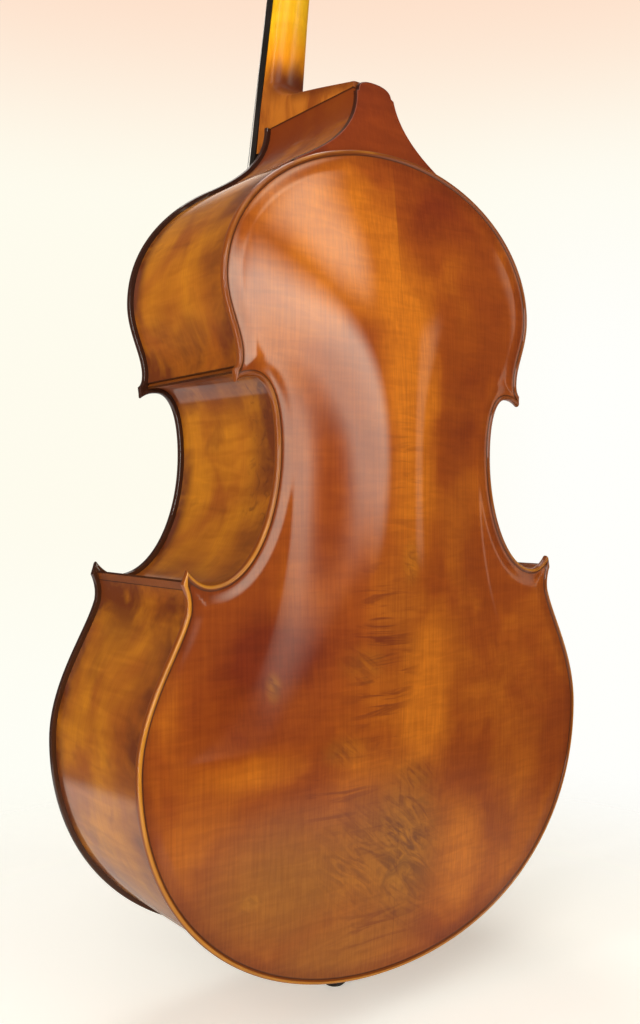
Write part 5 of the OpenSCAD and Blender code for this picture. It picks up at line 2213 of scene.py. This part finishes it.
@dataclass(frozen=True)
class Studio:
    """Camera, lamps, backdrop and floor.

    Attributes:
        yaw: Turn of the camera from looking along -Y, in degrees.
        below, above: Heights of a direction between which the lower colour ends and the upper one starts.
        beside, beside_high: Shares of a direction to the side, and heights, between which it is brighter.
        ahead: Shares of a direction ahead between which reflections see the backdrop.
        room: Colour of the room that the varnish mirrors.
        floor_edge, floor_side: Heights of a direction, and shares of it to one side, between which the
            mirrored floor ends.
        glow: Colours that the floor adds where the camera sees it.
    """

    eye: Place = (0.8247, 1.0379, 0.6114)
    yaw: float = 37.62
    pitch: float = -0.258
    roll: float = 0.105
    lens: float = 36.28
    high: Colour = (0.99, 0.72, 0.56)
    level: Colour = (0.995, 0.97, 0.85)
    low: Colour = (0.995, 0.992, 0.91)
    bright: Colour = (1.0, 1.0, 0.97)
    below: Pair = (-0.22, 0.02)
    above: Pair = (0.27, 0.49)
    beside: Pair = (0.02, 0.26)
    beside_high: Pair = (0.10, 0.40)
    ahead: Pair = (0.80, 0.92)
    room: Colour = (0.085, 0.080, 0.075)
    floor_edge: Pair = (-0.39, -0.33)
    floor_side: Pair = (0.60, 0.80)
    floor_turn: float = -85.0
    floor_light: Colour = (1.45, 1.38, 1.30)
    floor: tuple[Colour, Colour] = ((0.93, 0.92, 0.88), (0.90, 0.89, 0.84))
    glow: tuple[Colour, Colour] = ((0.42, 0.41, 0.375), (0.40, 0.39, 0.355))
    floor_r: float = 2.6
    fade: Pair = (0.35, 1.3)
    boxes: tuple[SoftBox, ...] = (
        SoftBox(-20.8, 7.7, 0.101, 0.099, 0.110, 9.6, (1.0, 0.96, 0.79), 5.9, 0.62, 0.040),
        SoftBox(-32.2, 22.7, 0.020, 0.002, 0.100, 8.5, (1.0, 0.78, 0.54)),
        SoftBox(-51.5, 6.0, 0.020, 0.14, 0.05, 1.5, (1.0, 0.86, 0.66)),
        SoftBox(92.0, 3.0, 0.020, 0.45, 0.020, 24.0, (1.0, 0.97, 0.92)),
    )
    lamps: tuple[Lamp, ...] = (
        Lamp("key", 50.0, 20.0, 2.6, (1.5, 1.5), 4.5),
        Lamp("overhead", 20.0, 74.0, 2.6, (2.6, 2.6), 1.3),
        Lamp("front", 205.0, 62.0, 2.8, (1.4, 1.4), 3.0),
    )

    def camera(self) -> None:
        """Places the camera at the photograph's view."""
        data = bpy.data.cameras.new("camera")
        data.lens = self.lens
        data.sensor_width = 36.0
        data.sensor_fit = "AUTO"
        cam = linked("camera", data)
        yaw, pitch = math.radians(self.yaw), math.radians(self.pitch)
        level = math.cos(pitch)
        ahead = Vector((-math.sin(yaw) * level, -math.cos(yaw) * level, math.sin(pitch)))
        right = ahead.cross(UP).normalized()
        turn = Matrix((right, right.cross(ahead), -ahead)).transposed().to_4x4()
        roll = Matrix.Rotation(math.radians(self.roll), 4, "Z")
        cam.matrix_world = Matrix.Translation(self.eye) @ turn @ roll
        bpy.context.scene.camera = cam

    def pale(self, g: Graph, way: Socket) -> Socket:
        """Colour of the backdrop.

        Args:
            g: The world's graph.
            way: The direction.

        Returns:
            The colour.
        """
        yaw = math.radians(self.yaw)
        height = g.part(way, "Z")
        pale = g.mix(g.ease(height, *self.below), self.low, self.level)
        pale = g.mix(g.ease(height, *self.above), pale, self.high)
        side = g.ease(g.dot(way, (-math.cos(yaw), math.sin(yaw), 0.0)), *self.beside)
        side = g.times(side, g.fall(height, *self.beside_high))
        return g.mix(side, pale, self.bright)

    def backdrop(self) -> None:
        """A pale world, with the room round it where only reflections and light see it."""
        world = bpy.data.worlds.new("backdrop")
        world.use_nodes = True
        bpy.context.scene.world = world
        g = Graph(world.node_tree)
        way = g.node("ShaderNodeTexCoord").outputs["Generated"]
        pale = self.pale(g, way)
        yaw, away = math.radians(self.yaw), math.radians(self.floor_turn)
        ahead = g.ease(g.dot(way, (-math.sin(yaw), -math.cos(yaw), 0.0)), *self.ahead)
        floor = g.fall(g.dot(way, (math.sin(away), math.cos(away), 0.0)), *self.floor_side)
        floor = g.times(floor, g.fall(g.part(way, "Z"), *self.floor_edge))
        room = g.mix(floor, g.mix(ahead, self.room, pale), self.floor_light)
        for box in self.boxes:
            room = g.mix(box.mask(g, way), room, tuple(c * box.light for c in box.colour), "ADD")
        seen = g.node("ShaderNodeLightPath").outputs["Is Camera Ray"]
        shade = world.node_tree.nodes["Background"]
        g.put(shade.inputs["Color"], g.mix(seen, room, pale))
        shade.inputs["Strength"].default_value = 1.0

    def ground(self) -> None:
        """A pale floor that fades into the backdrop."""
        bm = bmesh.new()
        bmesh.ops.create_circle(bm, cap_ends=True, segments=96, radius=self.floor_r)
        finish, g, shader = blank("studio_floor")
        place = g.place()
        tone = g.noise(place, 3.0, 3.0)
        g.fill(shader, {
            "Base Color": g.mix(tone, *self.floor),
            "Roughness": 0.8,
            "Specular IOR Level": 0.1,
            "Emission Color": g.mix(tone, *self.glow),
            "Emission Strength": g.node("ShaderNodeLightPath").outputs["Is Camera Ray"],
        })
        clear = g.node("ShaderNodeBsdfTransparent").outputs[0]
        parts = {0: g.ease(g.size(place), *self.fade), 1: shader.outputs[0], 2: clear}
        blend = g.node("ShaderNodeMixShader", parts)
        g.put(finish.node_tree.nodes["Material Output"].inputs["Surface"], blend.outputs[0])
        mesh = settled("floor", bm)
        mesh.materials.append(finish)
        linked("floor", mesh)

    def build(self) -> None:
        """Sets up the studio."""
        bpy.context.scene.view_settings.view_transform = "Standard"
        self.camera()
        self.backdrop()
        self.ground()
        for lamp in self.lamps:
            lamp.build()


def back_maple() -> Finish:
    """Finish of the carved back, with the marks of its boards.

    Returns:
        The material.
    """
    return PlateWood(
        "back_maple", (0.240, 0.030, 0.004), (0.42, 0.084, 0.005), flame=130.0, flame_depth=0.26,
        grain_depth=0.34, uneven=0.36,
        patches=spots(
            (-0.010, 0.750, 0.058, 0.250, 0.62), (-0.030, 0.380, 0.060, 0.140, 0.48),
            (0.100, 0.920, 0.190, 0.140, 0.40, Side.TREBLE), (0.030, 0.910, 0.060, 0.080, 0.22),
            (0.000, 1.012, 0.070, 0.032, -0.34), (-0.070, 0.975, 0.090, 0.080, -0.34, Side.BASS),
            (-0.100, 0.850, 0.080, 0.110, 0.16), (-0.125, 0.735, 0.060, 0.070, -0.20),
            (0.085, 0.620, 0.075, 0.210, -0.16), (0.150, 0.455, 0.120, 0.060, -0.42),
            (0.225, 0.385, 0.075, 0.065, -0.38), (0.310, 0.420, 0.035, 0.060, 0.30),
            (0.190, 0.325, 0.080, 0.036, 0.42), (0.060, 0.300, 0.075, 0.050, 0.36),
            (0.030, 0.390, 0.050, 0.060, 0.24), (-0.034, 0.287, 0.032, 0.030, -0.36),
            (-0.170, 0.420, 0.160, 0.220, 0.12), (-0.210, 0.200, 0.120, 0.110, 0.22),
            (-0.105, 0.170, 0.060, 0.100, 0.50), (0.121, 0.172, 0.030, 0.024, -0.30),
            (-0.210, 0.910, 0.060, 0.100, 0.10), (0.290, 0.260, 0.050, 0.090, 0.18),
            (0.190, 0.430, 0.070, 0.060, -0.25), (-0.150, 0.900, 0.060, 0.080, -0.15),
        ),
        clouds=spots(
            (0.160, 0.190, 0.160, 0.110, 0.80), (0.080, 0.100, 0.160, 0.070, 0.70),
            (0.010, 0.190, 0.120, 0.140, 0.60), (0.010, 0.480, 0.060, 0.110, 0.20),
        ),
        curls=spots(
            (0.035, 0.440, 0.065, 0.160, 0.85), (0.090, 0.280, 0.080, 0.080, 0.60),
            (0.000, 0.640, 0.050, 0.120, 0.35), (0.020, 0.120, 0.120, 0.050, 0.55),
            (0.010, 0.220, 0.110, 0.050, 0.55),
        ),
        dulls=spots((0.228, 0.375, 0.085, 0.095, 1.0)),
        burls=spots(
            (-0.010, 0.205, 0.070, 0.120, 0.80), (0.060, 0.200, 0.080, 0.090, 0.50),
            (0.060, 0.430, 0.040, 0.030, 0.40), (0.177, 0.413, 0.012, 0.022, 0.60),
            (-0.008, 0.548, 0.018, 0.035, 0.60), (0.085, 0.335, 0.040, 0.024, 0.45),
            (-0.020, 0.285, 0.045, 0.034, 0.50), (0.205, 0.185, 0.022, 0.014, 0.50),
        ),
    ).material()


def main() -> None:
    """Builds and dresses the double bass."""
    logging.basicConfig(level=logging.INFO, format="%(message)s")
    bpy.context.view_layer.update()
    Studio().build()
    back = back_maple()
    top = PlateWood(
        "top_spruce", (0.30, 0.085, 0.010), (0.44, 0.15, 0.018), grain=520.0, grain_depth=0.55,
        flame_depth=0.08, gold=(0.56, 0.22, 0.03), bead=(0.040, 0.012, 0.006), crest=(0.085, 0.026, 0.008),
    ).material()
    ribs = RibWood(
        "rib_maple", (0.38, 0.096, 0.008), (0.68, 0.245, 0.010), flame=70.0, flame_depth=0.35
    ).material()
    cap_wood = Wood("cap_maple", (0.225, 0.032, 0.005), (0.34, 0.056, 0.006), flame_depth=0.35).material()
    corner_wood = Wood("corner_maple", (0.170, 0.040, 0.006), (0.27, 0.072, 0.008), coat=0.1).material()
    # Dark finish without gloss that paints shade on the shoulder cap's eased edges and sides
    seam_wood = Wood("seam_maple", (0.045, 0.010, 0.004), (0.085, 0.019, 0.005), coat=0.0).material()
    neck_wood = NeckWood(
        "neck_maple", (0.90, 0.42, 0.008), (1.0, 0.64, 0.016), flame_depth=0.16, coat=0.2, coat_roughness=0.25
    ).material()
    ebony = Wood(
        "ebony", (0.008, 0.007, 0.006), (0.026, 0.020, 0.017), flame_depth=0.1, roughness=0.4, coat=0.2
    ).material()
    maple = Wood("bridge_maple", (0.50, 0.33, 0.17), (0.66, 0.47, 0.27), flame=160.0, coat=0.0).material()
    bare = Wood("bare_spruce", (0.52, 0.36, 0.19), (0.68, 0.50, 0.29), flame_depth=0.1, coat=0.0).material()
    steel = Metal("brushed_steel", (0.62, 0.62, 0.62), (0.36, 0.35, 0.34)).material()
    brass = Metal("worn_brass", (0.78, 0.56, 0.25), (0.38, 0.24, 0.09), 0.28).material()
    rubber = Rubber("black_rubber").material()
    wound = WoundSteel("wound_steel").material()
    outline = Outline()
    round_back = Arch(outline, 26.0, swell=1.7, narrow_z=599.0, reach=(10.0, 270.0, 115.0))
    CarvedPlate("back", Face.BACK, Slot.BACK, round_back, back).build()
    SoundPlate("top", Face.TOP, Slot.TOP, Arch(outline, 34.0), top).build()
    cap = ShoulderCap(cap_wood, seam_wood)
    cap.build()
    Ribs(ribs, cap).build()
    Neck(neck_wood, cap).build()
    head = Head(neck_wood)
    head.build()
    Strings(wound, steel, head).build()
    groups = (
        (ebony, 0.8, ("fingerboard", "nut", "tailpiece", "saddle", "endpin_socket")),
        (maple, 0.8, ("bridge",)),
        (bare, 0.0, ("back_linings", "top_linings", "end_block", "bass_bar", "sound_post")),
        (corner_wood, 0.0, ("corner_blocks",)),
        (cap_wood, 0.0, ("neck_block",)),
        (steel, 0.4, ("endpin_collar", "endpin_rod", "thumb_screw")),
        (steel, 0.0, tuple(f"string_roller_{n}" for n in "egad")),
        (brass, 0.4, tuple(f"machine_plate_{n}" for n in "egad")),
        (brass, 0.0, tuple(f"{kind}_{n}" for kind in ("tuning_key", "gear_wheel") for n in "egad")),
        (brass, 0.0, ("machine_screws",)),
        (rubber, 0.6, ("endpin_foot",)),
    )
    for finish, round_mm, nodes in groups:
        for node in nodes:
            Dressing(node, finish, round_mm).apply()


if __name__ == "__main__":
    main()
